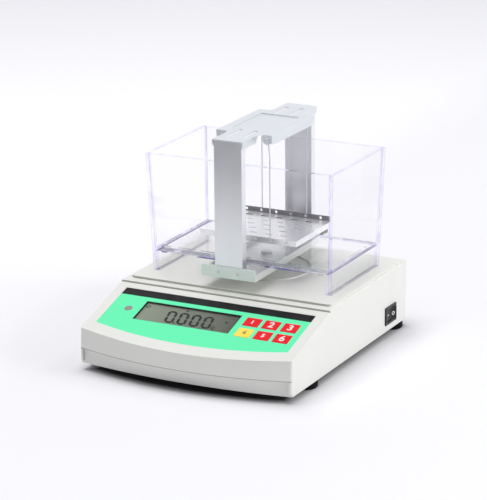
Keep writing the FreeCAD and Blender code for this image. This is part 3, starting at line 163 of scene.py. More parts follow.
def ramp_of(value, low, high, to_low=0.0, to_high=1.0):
    """A value stretched from low-high to to_low-to_high and held at its ends."""
    return put(value.id_data, "MapRange", Value=value, From_Min=low, From_Max=high, To_Min=to_low,
               To_Max=to_high).outputs[0]


def start_material(name, colour, roughness, **values):
    """A material, its tree and its Principled BSDF with these plain values."""
    material = bpy.data.materials.new(name)
    material.use_nodes = True
    shader = material.node_tree.nodes["Principled BSDF"]
    fill(shader, Base_Color=colour, Roughness=roughness, **values)
    return material, material.node_tree, shader


def mix_shaders(tree, share, first, second):
    """Gives the material two shaders, mixed by a share from 0 for the first to 1 for the second."""
    mixed = feed_all(put(tree, "MixShader"), share, first.outputs[0], second.outputs[0])
    fill(tree.nodes["Material Output"], Surface=mixed[0])


def bump(shader, height, distance):
    made = put(shader.id_data, "Bump", Height=height, Distance=distance, Strength=1.0)
    fill(shader, Normal=made.outputs[0])


def object_place(tree):
    return tree.nodes.new("ShaderNodeTexCoord").outputs["Object"]


def place_parts(tree):
    """The X, Y and Z of a place on the object."""
    return put(tree, "SeparateXYZ", Vector=object_place(tree)).outputs


def normal_parts(tree):
    """The X, Y and Z of the way that a face looks."""
    return put(tree, "SeparateXYZ", Vector=tree.nodes.new("ShaderNodeNewGeometry").outputs["Normal"]).outputs


def noise(place, scale, detail=2.0, roughness=0.5):
    made = put(place.id_data, "TexNoise", Vector=place, Scale=scale, Detail=detail, Roughness=roughness)
    return made.outputs["Fac"]


print("helpers ready")

# %% [markdown]
# ## The studio
#
# The floor is one pale sheet. Far from the lamps it would turn grey, so it glows, but only for the camera,
# for mirrors and for what is seen through glass: the object gets no more light from it. The glow is a sum of
# four: it grows with the distance, rises a little just outside the meter as painted light that lightens its
# shadow, evens out the shadow on the left as painted light, and lifts the far end for low cameras. Light
# would also bounce many times between the paper and the pale underside and make the gap milky, so a painted
# shadow makes the paper grey where the meter stands.

# %% Floor and background
BACKGROUND = tone(248, 247, 251)
PAPER = tone(232, 231, 234)
STANDING_HALF = (0.095, 0.1176)
STANDING_BOW = 0.0152
GLOW_REACH = (0.14, 0.9)
GLOW_LEVEL = (0.0, 0.135)
NEAR_REACH = (0.0, 0.035)
NEAR_LEVEL = (0.0, 0.07)
LEFT_REACH = (-0.12, -0.22)
LEFT_LEVEL = (0.0, 0.07)
HORIZON_REACH = (1.6, 5.0)
HORIZON_LEVEL = (0.0, 0.42)
PAINTED_SHADOW_EDGE = (-0.012, -0.001)
WORLD_LEVEL = (0.38, 0.98)


def seen_directly(tree):
    """1 for rays from the camera, from mirrors and through glass, and 0 for light on the object."""
    path = tree.nodes.new("ShaderNodeLightPath").outputs
    return most(path["Is Camera Ray"], path["Is Glossy Ray"], path["Is Transmission Ray"])


def studio_floor():
    bpy.ops.object.select_all(action="DESELECT")
    bpy.ops.mesh.primitive_plane_add(size=14)
    floor = bpy.context.object
    floor.name = "studio_floor"
    material = bpy.data.materials.new("studio_floor")
    material.use_nodes = True
    tree = material.node_tree
    tree.nodes.clear()
    place = place_parts(tree)
    aside = over(place["X"], STANDING_HALF[0])
    ahead = times(plus(place["Y"], STANDING_HALF[1]), -1.0)
    outside = most(minus(size_of(place["X"]), STANDING_HALF[0]),
                   most(plus(ahead, times(aside, aside, STANDING_BOW)), minus(place["Y"], STANDING_HALF[1])))
    # Painted shadow: the paper is dark grey inside the meter's outline and fades out just inside its edge.
    painted_shadow = ramp_of(outside, *PAINTED_SHADOW_EDGE, 1.0, 0.0)
    paper = put(tree, "BsdfDiffuse", Color=blend_of(tree, painted_shadow, PAPER, tone(70, 70, 72)))
    away = put_maths(tree, "VectorMath", "LENGTH", object_place(tree))["Value"]
    far = ramp_of(away, *GLOW_REACH, *GLOW_LEVEL)
    # Painted light: this glow rises just outside the meter's outline and lightens its shadow there.
    near = ramp_of(outside, *NEAR_REACH, *NEAR_LEVEL)
    # Painted light: this glow on the left evens out the shadow of the right lamp.
    left = ramp_of(place["X"], *LEFT_REACH, *LEFT_LEVEL)
    horizon = ramp_of(away, *HORIZON_REACH, *HORIZON_LEVEL)
    lift = plus(far, near, plus(left, horizon))
    glow = put(tree, "Emission", Color=BACKGROUND, Strength=times(seen_directly(tree), lift))
    both = feed_all(put(tree, "AddShader"), paper.outputs[0], glow.outputs[0])
    put(tree, "OutputMaterial", Surface=both[0])
    floor.data.materials.append(material)
    return floor


def studio_world():
    world = bpy.data.worlds.new("studio")
    world.use_nodes = True
    tree = world.node_tree
    background = tree.nodes["Background"]
    direct = seen_directly(tree)
    fill(background, Color=blend_of(tree, direct, tone(244, 246, 250), BACKGROUND),
         Strength=ramp_of(direct, 0, 1, *WORLD_LEVEL))
    bpy.context.scene.world = world


floor = studio_floor()
studio_world()
print("floor size:", [round(s, 1) for s in floor.dimensions])

# %% [markdown]
# ## Lamps
#
# Two large soft boxes do most: one low on the right, which makes the right side of the case the brightest,
# and one overhead. A third fills the front a little. All are hidden from shiny surfaces, or the glossy panel
# would turn pale, and none is seen through glass, or what stands behind glass would be lit twice. A big lamp
# gives the soft edge that the shadows have. A lamp's power is worked out from the light that a surface facing
# it should get, so that the numbers mean something.
#
# A dark card lies and stands in front, outside the view, because bare metal needs something dark to show.
# Only mirrored rays see it: for all others it is see-through.

# %% Lamps


def soft_box(name, place, target, size, level):
    """A square lamp that gives a facing surface at the target this share of full light."""
    data = bpy.data.lights.new(name, "AREA")
    data.size = size
    reach = Vector(target) - Vector(place)
    data.energy = level * math.pi ** 2 * reach.length_squared
    lamp = bpy.data.objects.new(name, data)
    lamp.location = place
    lamp.rotation_euler = reach.to_track_quat("-Z", "Y").to_euler()
    lamp.visible_transmission = lamp.visible_glossy = False
    bpy.context.scene.collection.objects.link(lamp)
    return lamp


OBJECT_MIDDLE = (0, 0, 0.08)
CARD_WIDTH = 1.4
CARD_MIDDLE = -0.3
CARD_NEAR = -0.42
CARD_REACH = 0.75
CARD_HEIGHT = 0.9
soft_box("right_box", (1.8, 0.1, 0.6), OBJECT_MIDDLE, 1.0, 0.52)
soft_box("top_box", (-0.35, 0.0, 2.1), OBJECT_MIDDLE, 1.6, 0.77)
soft_box("front_box", (-0.8, -1.9, 1.3), OBJECT_MIDDLE, 1.4, 0.03)


def dark_card():
    """A card folded along its middle: one half lies on the floor and the other stands behind it."""
    bpy.ops.object.select_all(action="DESELECT")
    bpy.ops.mesh.primitive_grid_add(x_subdivisions=1, y_subdivisions=2, size=1)
    card = bpy.context.object
    card.name = "dark_card"
    card.scale = (CARD_WIDTH, CARD_REACH + CARD_HEIGHT, 1)
    bpy.ops.object.transform_apply(location=False, rotation=False, scale=True)
    for corner in card.data.vertices:
        if corner.co.y > 0.001:
            corner.co = (corner.co.x, CARD_NEAR, 0.002)
        elif corner.co.y > -0.001:
            corner.co = (corner.co.x, CARD_NEAR - CARD_REACH, 0.002)
        else:
            corner.co = (corner.co.x, CARD_NEAR - CARD_REACH, CARD_HEIGHT)
    card.data.transform(Matrix.Translation((CARD_MIDDLE, 0, 0)))
    material, tree, shader = start_material("dark_card", tone(116, 116, 120), 1.0, Specular_IOR_Level=0.0)
    gone = put(tree, "BsdfTransparent", Color=(1, 1, 1, 1))
    mirrored = least(tree.nodes.new("ShaderNodeLightPath").outputs["Glossy Depth"], 1.0)
    mix_shaders(tree, mirrored, gone, shader)
    card.data.materials.append(material)
    card.visible_camera = card.visible_diffuse = card.visible_shadow = False
    return card


card = dark_card()

# %% [markdown]
# ## Where things are on the sloping panel
#
# The film lies on a slope. Digits and numbers are easiest to lay out flat, in millimetres across and up the
# slope, so the slope is measured from the film itself: its largest faces give the direction that it faces,
# and its highest corner is the top of its printed sheet.

# %% Panel frame
FILM_TOP = 62.6
FILM_FACE = -0.2


def panel_matrix():
    """Turns millimetres across, up and out of the slope into metres in the frame."""
    film = nodes["front_panel"].data
    largest = max((face for face in film.polygons if face.normal.z > 0.5), key=lambda face: face.area)
    slope = math.asin(-largest.normal.y)
    out = Vector((0, -math.sin(slope), math.cos(slope)))
    uphill = Vector((0, math.cos(slope), math.sin(slope)))
    top = max((v.co for v in film.vertices), key=lambda co: co.dot(uphill) + co.dot(out))
    origin = Vector((0, top.y, top.z)) - FILM_TOP * MM * uphill - FILM_FACE * MM * out
    turned = Matrix((Vector((1, 0, 0)), uphill, out)).transposed().to_4x4()
    return Matrix.Translation(origin) @ turned @ Matrix.Scale(MM, 4), slope, origin


PANEL, SLOPE, PANEL_ORIGIN = panel_matrix()
print("slope: %.2f degrees" % math.degrees(SLOPE), "origin:", [round(c / MM, 2) for c in PANEL_ORIGIN])

# %% [markdown]
# ## Shared effects
#
# Moulded plastic has the fine grain of its mould, sheet metal has the lines of its rolling or brushing,
# handled corners shine or chip, and everything on a bench carries a little dust. The edge mask also lays
# painted highlights and painted shade along edges. Each effect is one node group with named inputs, built
# once. A material then places it with its own values, and only masks and heights come out of it.

# %% Node groups


def start_group(name, inputs, outputs):
    """A node group with these sockets, its input sockets' values and its output sockets."""
    tree = bpy.data.node_groups.new(name, "ShaderNodeTree")
    for label, value in inputs.items():
        socket = tree.interface.new_socket(name=label, in_out="INPUT", socket_type="NodeSocketFloat")
        socket.default_value = value
    for label in outputs:
        tree.interface.new_socket(name=label, in_out="OUTPUT", socket_type="NodeSocketFloat")
    return tree, tree.nodes.new("NodeGroupInput").outputs, tree.nodes.new("NodeGroupOutput").inputs


def place_group(tree, name, **values):
    made = tree.nodes.new("ShaderNodeGroup")
    made.node_tree = bpy.data.node_groups[name]
    return fill(made, **values).outputs


def moulded_grain():
    """Fine pits from an etched mould. Per Metre is how many grains a metre holds."""
    tree, given, out = start_group("moulded_grain", {"Per Metre": 1500.0, "Unevenness": 0.5},
                                   ("Height", "Tone"))
    place = object_place(tree)
    grain = noise(place, given["Per Metre"], 3.0, 0.6)
    coarse = noise(place, times(given["Per Metre"], 0.04), 2.0)
    spread = times(minus(coarse, 0.5), given["Unevenness"])
    uneven = plus(grain, spread)
    feed(out["Height"], uneven)
    feed(out["Tone"], ramp_of(uneven, 0.2, 0.8))


def brushed_lines():
    """Long fine lines along one axis. Along X, Y and Z set how much the lines are stretched."""
    tree, given, out = start_group("brushed_lines", {"Along X": 1.0, "Along Y": 1.0, "Along Z": 0.02,
                                                     "Per Metre": 2500.0}, ("Height", "Tone"))
    stretch = put(tree, "CombineXYZ", X=given["Along X"], Y=given["Along Y"], Z=given["Along Z"])
    scaled = put_maths(tree, "VectorMath", "MULTIPLY", object_place(tree), stretch.outputs[0])[0]
    fine = noise(scaled, given["Per Metre"], 4.0, 0.7)
    broad = noise(scaled, times(given["Per Metre"], 0.12), 2.0)
    both = plus(times(fine, 0.6), times(broad, 0.4))
    feed(out["Height"], both)
    feed(out["Tone"], ramp_of(both, 0.3, 0.7))


def worn_edges():
    """1 along sharp edges, broken up by noise, for wear and for painted highlights and shade along edges.
    Width is in metres.
    """
    tree, given, out = start_group("worn_edges", {"Width": 0.0006, "Patchiness": 0.5}, ("Mask",))
    rounded = put(tree, "Bevel", Radius=given["Width"])
    rounded.samples = 4
    normal = tree.nodes.new("ShaderNodeNewGeometry").outputs["Normal"]
    alike = put_maths(tree, "VectorMath", "DOT_PRODUCT", rounded.outputs[0], normal)["Value"]
    edge = ramp_of(minus(1.0, alike), 0.02, 0.22)
    patches = ramp_of(noise(object_place(tree), 160.0, 4.0), 0.35, 0.65)
    patchy = times(given["Patchiness"], minus(1.0, patches))
    feed(out["Mask"], times(edge, minus(1.0, patchy)))


def bent_corners():
    """1 on the rounded bends between faces that look along an axis, where metal gets a painted highlight."""
    tree, given, out = start_group("bent_corners", {"Start": 0.02}, ("Mask",))
    normal = normal_parts(tree)
    longest = most(*(size_of(normal[axis]) for axis in "XYZ"))
    feed(out["Mask"], ramp_of(minus(1.0, longest), given["Start"], 0.2))


def settled_dust():
    """A thin veil on what faces up, in soft clouds."""
    tree, given, out = start_group("settled_dust", {"Amount": 0.3, "Per Metre": 30.0}, ("Mask",))
    level = ramp_of(normal_parts(tree)["Z"], 0.3, 1.0)
    clouds = ramp_of(noise(object_place(tree), given["Per Metre"], 6.0, 0.65), 0.35, 0.75)
    specks = ramp_of(noise(object_place(tree), 1400.0, 1.0), 0.68, 0.74)
    veil = most(clouds, times(specks, 0.8))
    feed(out["Mask"], times(veil, level, given["Amount"]))


def finger_smudges():
    """Broad uneven patches where hands have been, for roughness."""
    tree, given, out = start_group("finger_smudges", {"Per Metre": 45.0}, ("Mask",))
    place = object_place(tree)
    broad = noise(place, given["Per Metre"], 3.0, 0.6)
    fine = noise(place, times(given["Per Metre"], 9.0), 2.0)
    feed(out["Mask"], ramp_of(plus(broad, times(fine, 0.2)), 0.4, 0.8))


def panel_place():
    """Millimetres across, up and out of the sloping panel."""
    tree, _, out = start_group("panel_place", {}, ("Across", "Up", "Out"))
    turned = put(tree, "Mapping", Vector=object_place(tree), Location=PANEL_ORIGIN, Rotation=(SLOPE, 0, 0),
                 Scale=(MM, MM, MM))
    turned.vector_type = "TEXTURE"
    parts = put(tree, "SeparateXYZ", Vector=turned.outputs[0])
    for axis, label in zip("XYZ", ("Across", "Up", "Out")):
        feed(out[label], parts.outputs[axis])


for build in (moulded_grain, brushed_lines, worn_edges, bent_corners, settled_dust, finger_smudges,
              panel_place):
    build()
print("groups:", sorted(g.name for g in bpy.data.node_groups))

# %% [markdown]
# ## The case
#
# The two shells are moulded in a warm light grey plastic. Its mould was etched, so the surface is matt with
# a grain of about half a millimetre, and it is a little smoother where it is wiped. A bump of a few
# hundredths of a millimetre is enough: more would look like leather. The walls of the display's window are
# painted nearly black, partly as their own dark colour and partly as painted shade in the recess. The low
# steps behind the panel get a painted shade, the seam across the front gets a darker line of painted shade,
# and the edges are painted paler, partly as wear and partly as a painted highlight.

# %% Case plastic
WINDOW_SIDES = (-58.6, 27.1)
WINDOW_RISE = (22.3, 48.2)
WINDOW_WALL = (-1.9, -0.69)
STEP_FOOT = (0.0545, 0.0548)
SEAM_LEVEL = 0.019
SEAM_HALF = (0.0003, 0.0006)


def inside_box(spot, sides, rise, depth):
    """1 where a place on the panel lies between these limits, in millimetres."""
    tests = []
    for label, (low, high) in zip(("Across", "Up", "Out"), (sides, rise, depth)):
        middle = apart(spot[label], (low + high) / 2)
        tests.append(below(middle, (high - low) / 2))
    return times(*tests)


def low_steps(tree):
    """1 on the two low steps between the slope and the deck, which get a painted shade."""
    facing = ramp_of(normal_parts(tree)["Y"], -0.5, -0.9)
    return times(facing, ramp_of(place_parts(tree)["Z"], *STEP_FOOT))


def front_seam(tree):
    """1 on the line where the two shells meet across the front, which gets a painted shade."""
    off = apart(place_parts(tree)["Z"], SEAM_LEVEL)
    return times(ramp_of(off, *SEAM_HALF, 1.0, 0.0), ramp_of(normal_parts(tree)["Y"], -0.3, -0.6))


def case_plastic():
    material, tree, shader = start_material("case_plastic", tone(222, 222, 218), 0.5, Specular_IOR_Level=0.4)
    grain = place_group(tree, "moulded_grain", Per_Metre=1900.0, Unevenness=0.3)
    smudges = place_group(tree, "finger_smudges", Per_Metre=22.0)
    dust = place_group(tree, "settled_dust", Amount=0.22, Per_Metre=18.0)
    edges = place_group(tree, "worn_edges", Width=0.0009, Patchiness=0.5)
    spot = place_group(tree, "panel_place")
    body = blend_of(tree, grain["Tone"], tone(226, 226, 221), tone(231, 231, 227))
    dusty = blend_of(tree, dust["Mask"], body, tone(222, 220, 212))
    # Edges painted paler: partly wear, partly a painted highlight on the rounded corners.
    edges_worn_and_lit = blend_of(tree, times(edges["Mask"], 0.5), dusty, tone(244, 244, 242))
    # Painted shade: the low steps behind the panel are painted greyer.
    steps_shaded = blend_of(tree, times(low_steps(tree), 0.9), edges_worn_and_lit, tone(176, 176, 168))
    # Painted shade: a darker line along the seam between the shells.
    seam_shaded = blend_of(tree, times(front_seam(tree), 0.8), steps_shaded, tone(150, 150, 142))
    # The window's walls are painted nearly black: partly their own dark colour, partly painted shade of the
    # recess.
    walls_black_and_shaded = inside_box(spot, WINDOW_SIDES, WINDOW_RISE, WINDOW_WALL)
    fill(shader, Base_Color=blend_of(tree, walls_black_and_shaded, seam_shaded, tone(30, 31, 30)))
    wiped = ramp_of(smudges["Mask"], 0, 1, 0.5, 0.42)
    fill(shader, Roughness=plus(wiped, times(dust["Mask"], 0.3)))
    bump(shader, grain["Height"], 0.00003)
    return material


CASE = case_plastic()
print("made", CASE.name)

# %% [markdown]
# ## The printed film
#
# The front film is polyester, printed on its back: a mint green field, a black strip along its top, a fine
# black border round the display and a paler line round each key. Painting these in the shader, from
# places on the slope, keeps their edges sharp at any size. The film has a faint pebble and is raised a
# little round each key.

# %% Printed film
STRIP_START = 53.7
BORDER = 0.4
FILM_DEPTH = (-0.9, 0.2)
KEY_HALO = (0.5, 1.3)
KEY_FIRST = (40.0, 26.45)
KEY_PITCH = (16.75, 15.3)
KEY_HALF = (6.65, 5.7)


def from_keys(across, upward):
    """The distance in millimetres outside the nearest key's outline, where there are keys."""
    gaps = []
    for place, first, pitch, half, count in zip((across, upward), KEY_FIRST, KEY_PITCH, KEY_HALF, (3, 2)):
        steps = over(minus(place, first), pitch)
        nearest = least(most(whole(steps), 0.0), count - 1.0)
        away = apart(steps, nearest)
        gaps.append(most(minus(times(away, pitch), half), 0.0))
    return root(plus(*(times(gap, gap) for gap in gaps)))


def printed_film():
    material, tree, shader = start_material("printed_film", tone(100, 235, 170), 0.4, Specular_IOR_Level=0.2)
    spot = place_group(tree, "panel_place")
    smudges = place_group(tree, "finger_smudges", Per_Metre=60.0)
    grain = place_group(tree, "moulded_grain", Per_Metre=2600.0, Unevenness=0.2)
    green = blend_of(tree, grain["Tone"], tone(98, 238, 174), tone(108, 243, 182))
    halo = ramp_of(from_keys(spot["Across"], spot["Up"]), *KEY_HALO, 0.55, 0.0)
    haloed = blend_of(tree, halo, green, tone(172, 246, 212))
    strip = above(spot["Up"], STRIP_START)
    sides = (WINDOW_SIDES[0] - BORDER, WINDOW_SIDES[1] + BORDER)
    rise = (WINDOW_RISE[0], WINDOW_RISE[1] + BORDER)
    black = most(strip, inside_box(spot, sides, rise, FILM_DEPTH))
    fill(shader, Base_Color=blend_of(tree, black, haloed, tone(12, 12, 13)),
         Roughness=ramp_of(smudges["Mask"], 0, 1, 0.34, 0.46))
    bump(shader, plus(times(halo, 1.5), times(grain["Height"], 0.2)), 0.00006)
    return material


FILM = printed_film()
print("made", FILM.name)

# %% [markdown]
# ## Display and indicator
#
# The liquid crystal is a dull grey green, with a painted shade that makes it darker from left to right, and a
# dark band along its right end. Its window is a thin clear plate with a matt coating, so it is given very
# little shine. Glass blocks all lamp light in a path tracer, so a second shader makes it see-through for the
# rays that carry light, and only what the camera or a mirror sees through it is bent. The indicator is a
# clouded plastic lens over a lamp that is off.

# %% Display materials
CRYSTAL_RIM = 1.1


def liquid_crystal():
    material, tree, shader = start_material("liquid_crystal", tone(130, 140, 122), 0.35,
                                            Specular_IOR_Level=0.2)
    spot = place_group(tree, "panel_place")
    cells = place_group(tree, "moulded_grain", Per_Metre=4000.0, Unevenness=0.1)
    # Painted shade: the crystal is painted darker from left to right.
    side = ramp_of(spot["Across"], *WINDOW_SIDES)
    plain = blend_of(tree, side, tone(142, 150, 132), tone(88, 88, 80))
    celled = blend_of(tree, times(cells["Tone"], 0.12), plain, tone(90, 96, 86))
    rim = above(spot["Across"], WINDOW_SIDES[1] - CRYSTAL_RIM)
    fill(shader, Base_Color=blend_of(tree, rim, celled, tone(40, 44, 40)))
    fill(shader, Roughness=ramp_of(cells["Tone"], 0, 1, 0.3, 0.4))
    return material


def let_light_through(tree, shader):
    """Glass stays see-through for shadow rays and for the rays that gather light on what is behind it."""
    clear = put(tree, "BsdfTransparent", Color=(0.985, 0.985, 0.99, 1))
    path = tree.nodes.new("ShaderNodeLightPath").outputs
    mix_shaders(tree, most(path["Is Shadow Ray"], path["Is Diffuse Ray"]), shader, clear)


def matt_window():
    material, tree, shader = start_material("matt_window", (0.97, 0.98, 0.97, 1), 0.02, IOR=1.12,
                                            Transmission_Weight=1.0, Specular_IOR_Level=0.2)
    smudges = place_group(tree, "finger_smudges", Per_Metre=80.0)
    fill(shader, Roughness=ramp_of(smudges["Mask"], 0, 1, 0.0, 0.05))
    let_light_through(tree, shader)
    return material


def clouded_lens():
    material, tree, shader = start_material("clouded_lens", tone(150, 138, 138), 0.45, Specular_IOR_Level=0.3)
    grain = place_group(tree, "moulded_grain", Per_Metre=900.0, Unevenness=0.6)
    fill(shader, Base_Color=blend_of(tree, grain["Tone"], tone(128, 142, 130), tone(158, 136, 140)))
    bump(shader, grain["Height"], 0.00002)
    return material


def dark_segments():
    material, tree, shader = start_material("dark_segments", tone(24, 30, 26), 0.4, Specular_IOR_Level=0.1)
    grain = place_group(tree, "moulded_grain", Per_Metre=6000.0, Unevenness=0.3)
    fill(shader, Base_Color=blend_of(tree, grain["Tone"], tone(20, 26, 22), tone(30, 38, 32)))
    return material


CRYSTAL, WINDOW, LENS, SEGMENTS = liquid_crystal(), matt_window(), clouded_lens(), dark_segments()
print("made", [m.name for m in (CRYSTAL, WINDOW, LENS, SEGMENTS)])

# %% [markdown]
# ## Keys, marks and black plastic
#
# The keys are dyed silicone-like plastic under a soft gloss. One function makes both colours, because only
# the dye differs. The same is true of the two black plastics: the switch is glossier than the feet.

# %% Keys and black plastic


def key_plastic(name, deep, bright):
    material, tree, shader = start_material(name, bright, 0.35, Specular_IOR_Level=0.2)
    grain = place_group(tree, "moulded_grain", Per_Metre=2200.0, Unevenness=0.4)
    smudges = place_group(tree, "finger_smudges", Per_Metre=140.0)
    edges = place_group(tree, "worn_edges", Width=0.0004, Patchiness=0.3)
    body = blend_of(tree, grain["Tone"], deep, bright)
    paler = blend_of(tree, 0.5, bright, (1, 1, 1, 1))
    fill(shader, Base_Color=blend_of(tree, times(edges["Mask"], 0.25), body, paler))
    fill(shader, Roughness=ramp_of(smudges["Mask"], 0, 1, 0.3, 0.42))
    bump(shader, grain["Height"], 0.00002)
    return material


def black_plastic(name, roughness, per_metre, dust_amount, shine):
    material, tree, shader = start_material(name, tone(28, 28, 30), roughness, Specular_IOR_Level=shine)
    grain = place_group(tree, "moulded_grain", Per_Metre=per_metre, Unevenness=0.4)
    dust = place_group(tree, "settled_dust", Amount=dust_amount, Per_Metre=60.0)
    edges = place_group(tree, "worn_edges", Width=0.0004, Patchiness=0.6)
    body = blend_of(tree, grain["Tone"], tone(10, 10, 11), tone(20, 20, 22))
    dusty = blend_of(tree, dust["Mask"], body, tone(120, 118, 114))
    fill(shader, Base_Color=blend_of(tree, times(edges["Mask"], 0.4), dusty, tone(90, 90, 94)))
    fill(shader, Roughness=ramp_of(grain["Tone"], 0, 1, roughness - 0.06, roughness + 0.06))
    bump(shader, grain["Height"], 0.00004)
    return material


def white_print(name, colour):
    material, tree, shader = start_material(name, colour, 0.5)
    grain = place_group(tree, "moulded_grain", Per_Metre=5000.0, Unevenness=0.6)
    darker = tuple(0.86 * part for part in colour[:3]) + (1,)
    fill(shader, Base_Color=blend_of(tree, grain["Tone"], darker, colour))
    return material


KEY_RED = key_plastic("key_red", tone(226, 18, 28), tone(240, 28, 38))
KEY_YELLOW = key_plastic("key_yellow", tone(250, 218, 78), tone(254, 228, 98))
SWITCH_BLACK = black_plastic("switch_black", 0.32, 1800.0, 0.08, 0.3)
RUBBER_BLACK = black_plastic("rubber_black", 0.62, 900.0, 0.0, 0.1)
WHITE_MARK = white_print("white_mark", tone(246, 240, 240))
GREY_MARK = white_print("grey_mark", tone(150, 136, 92))
print("made", [m.name for m in (KEY_RED, KEY_YELLOW, SWITCH_BLACK, RUBBER_BLACK, WHITE_MARK, GREY_MARK)])

# %% [markdown]
# ## Clear acrylic
#
# The tank is cemented from acrylic sheet. Its faces are clear, and its cut edges glow violet, because light
# runs along the sheet and comes out there. A tint and a faint glow by direction do the same without slow
# light paths: the material is told which way the sheet's broad faces look, and every other face counts as a
# cut edge. Where two faces meet, a fine darker line of painted shade is drawn along the rim. Light that
# enters an edge would bounce dozens of times inside the sheet and come out black, so the index is near 1 and
# hardly bends it. A thin coat with the real index gives the reflections back.

# %% Acrylic


def acrylic(name, broad_axis, deep, pale):
    material, tree, shader = start_material(name, (0.99, 0.99, 1, 1), 0.0, Transmission_Weight=1.0, IOR=1.04,
                                            Coat_Weight=0.6, Coat_IOR=1.49, Coat_Roughness=0.02,
                                            Emission_Strength=0.08)
    broad = ramp_of(size_of(normal_parts(tree)[broad_axis]), 0.3, 0.7)
    clouds = ramp_of(noise(object_place(tree), 90.0, 3.0), 0.3, 0.7)
    lines = place_group(tree, "worn_edges", Width=0.0009, Patchiness=0.3)
    cut = blend_of(tree, times(clouds, 0.5), pale, deep)
    sheet = blend_of(tree, broad, cut, (0.99, 0.99, 0.997, 1))
    # Painted shade: a fine darker line along the rim where two faces meet.
    fill(shader, Base_Color=blend_of(tree, lines["Mask"], sheet, deep))
    fill(shader, Emission_Color=blend_of(tree, broad, cut, (0, 0, 0, 1)))
    smudges = place_group(tree, "finger_smudges", Per_Metre=25.0)
    fill(shader, Roughness=ramp_of(smudges["Mask"], 0.5, 1, 0.0, 0.04))
    let_light_through(tree, shader)
    return material


ACRYLIC_X = acrylic("acrylic_x", "X", tone(140, 128, 206), tone(245, 243, 252))
ACRYLIC_Y = acrylic("acrylic_y", "Y", tone(184, 178, 210), tone(248, 247, 253))
ACRYLIC_Z = acrylic("acrylic_z", "Z", tone(160, 150, 210), tone(226, 222, 244))
ACRYLIC_STRIP = acrylic("acrylic_strip", "X", tone(198, 190, 234), tone(240, 238, 249))


def bubbly_cement(name, pale, deep):
    material, tree, shader = start_material(name, pale, 0.3)
    spots = noise(object_place(tree), 420.0, 3.0, 0.7)
    fill(shader, Base_Color=blend_of(tree, ramp_of(spots, 0.4, 0.6), pale, deep))
    patches = ramp_of(noise(object_place(tree), 55.0, 2.0), 0.44, 0.56)
    fill(shader, Alpha=times(ramp_of(spots, 0.36, 0.5), patches))
    return material


CEMENT = bubbly_cement("bubbly_cement", tone(176, 168, 224), tone(98, 84, 176))
THIN_CEMENT = bubbly_cement("thin_cement", tone(226, 224, 236), tone(176, 172, 196))
print("made", [m.name for m in (ACRYLIC_X, ACRYLIC_Y, ACRYLIC_Z, ACRYLIC_STRIP, CEMENT, THIN_CEMENT)])

# %% [markdown]
# ## Sheet metal, wire and screws
#
# The posts are satin aluminium with upright brushing, the beam and channel are bright coated sheet, and the
# tray is polished stainless steel. All are the same recipe: a metal, lines along the way it was rolled,
# smudges that spoil the shine, and edges and rounded bends painted paler as a painted highlight, which on the
# edges is partly wear. Only the numbers differ. The tray counts as metal in part only, or it would mirror too
# much of the dark card.
#
# Two places get a colour of their own, with no cause in the metal itself: the floors of the beam's grooves
# are painted white as a painted highlight, and the inside of the tray's rear flange is painted darker as a
# painted reflection of something dark.

# %% Metals
RIB_ASIDE = 0.007
RIB_ALONG = 0.042
BEAM_MIDDLE = 0.0425
RIB_HALF = (0.0017, 0.0133)
REAR_FLANGE_START = 0.06


def pressed_ribs(tree):
    """1 on the floors of the grooves that are pressed into the beam, which get a painted highlight."""
    place = place_parts(tree)
    aside = apart(size_of(place["X"]), RIB_ASIDE)
    span = apart(apart(place["Y"], BEAM_MIDDLE), RIB_ALONG)
    within = times(below(aside, RIB_HALF[0]), below(span, RIB_HALF[1]))
    return times(within, above(normal_parts(tree)["Z"], 0.9))


def rear_flange(tree):
    """1 on the inside of the tray's rear flange, which gets a painted reflection."""
    return times(below(normal_parts(tree)["Y"], -0.5), above(place_parts(tree)["Y"], REAR_FLANGE_START))


def paint_over(material, mask, colour):
    """Lays a colour over a finished material where a mask is 1."""
    tree = material.node_tree
    shader = tree.nodes["Principled BSDF"]
    before = shader.inputs["Base Color"].links[0].from_socket
    fill(shader, Base_Color=blend_of(tree, mask(tree), before, colour))


def metal(name, dull, bright, roughness, along, per_metre, line_depth, edge_highlight_share=0.3, edge_width=0.0005,
          bare=1.0):
    material, tree, shader = start_material(name, bright, roughness, Metallic=bare)
    lines = place_group(tree, "brushed_lines", Along_X=along[0], Along_Y=along[1], Along_Z=along[2],
                        Per_Metre=per_metre)
    smudges = place_group(tree, "finger_smudges", Per_Metre=38.0)
    edges = place_group(tree, "worn_edges", Width=edge_width, Patchiness=0.4)
    bends = place_group(tree, "bent_corners", Start=0.02)
    # Edges and rounded bends are painted nearly white: a painted highlight, and on the edges partly wear.
    lit = times(most(edges["Mask"], bends["Mask"]), edge_highlight_share)
    drawn = blend_of(tree, lines["Tone"], dull, bright)
    hazed = blend_of(tree, times(smudges["Mask"], 0.25), drawn, dull)
    fill(shader, Base_Color=blend_of(tree, lit, hazed, (0.98, 0.98, 0.99, 1)))
    spread = ramp_of(lines["Tone"], 0, 1, roughness * 0.85, roughness * 1.15)
    fill(shader, Roughness=plus(spread, times(smudges["Mask"], 0.05)))
    bump(shader, lines["Height"], line_depth)
    return material


UPRIGHT, LENGTHWAYS, SIDEWAYS, EVEN = (1, 1, 0.02), (1, 0.02, 1), (0.02, 1, 1), (1, 1, 1)
POST_METAL = metal("post_metal", tone(244, 245, 248), tone(248, 249, 251), 0.3, UPRIGHT, 2600.0, 0.000003,
                   0.8)
BEAM_METAL = metal("beam_metal", tone(232, 237, 239), tone(242, 246, 248), 0.42, LENGTHWAYS, 1800.0, 0.000006,
                   0.9, 0.0008)
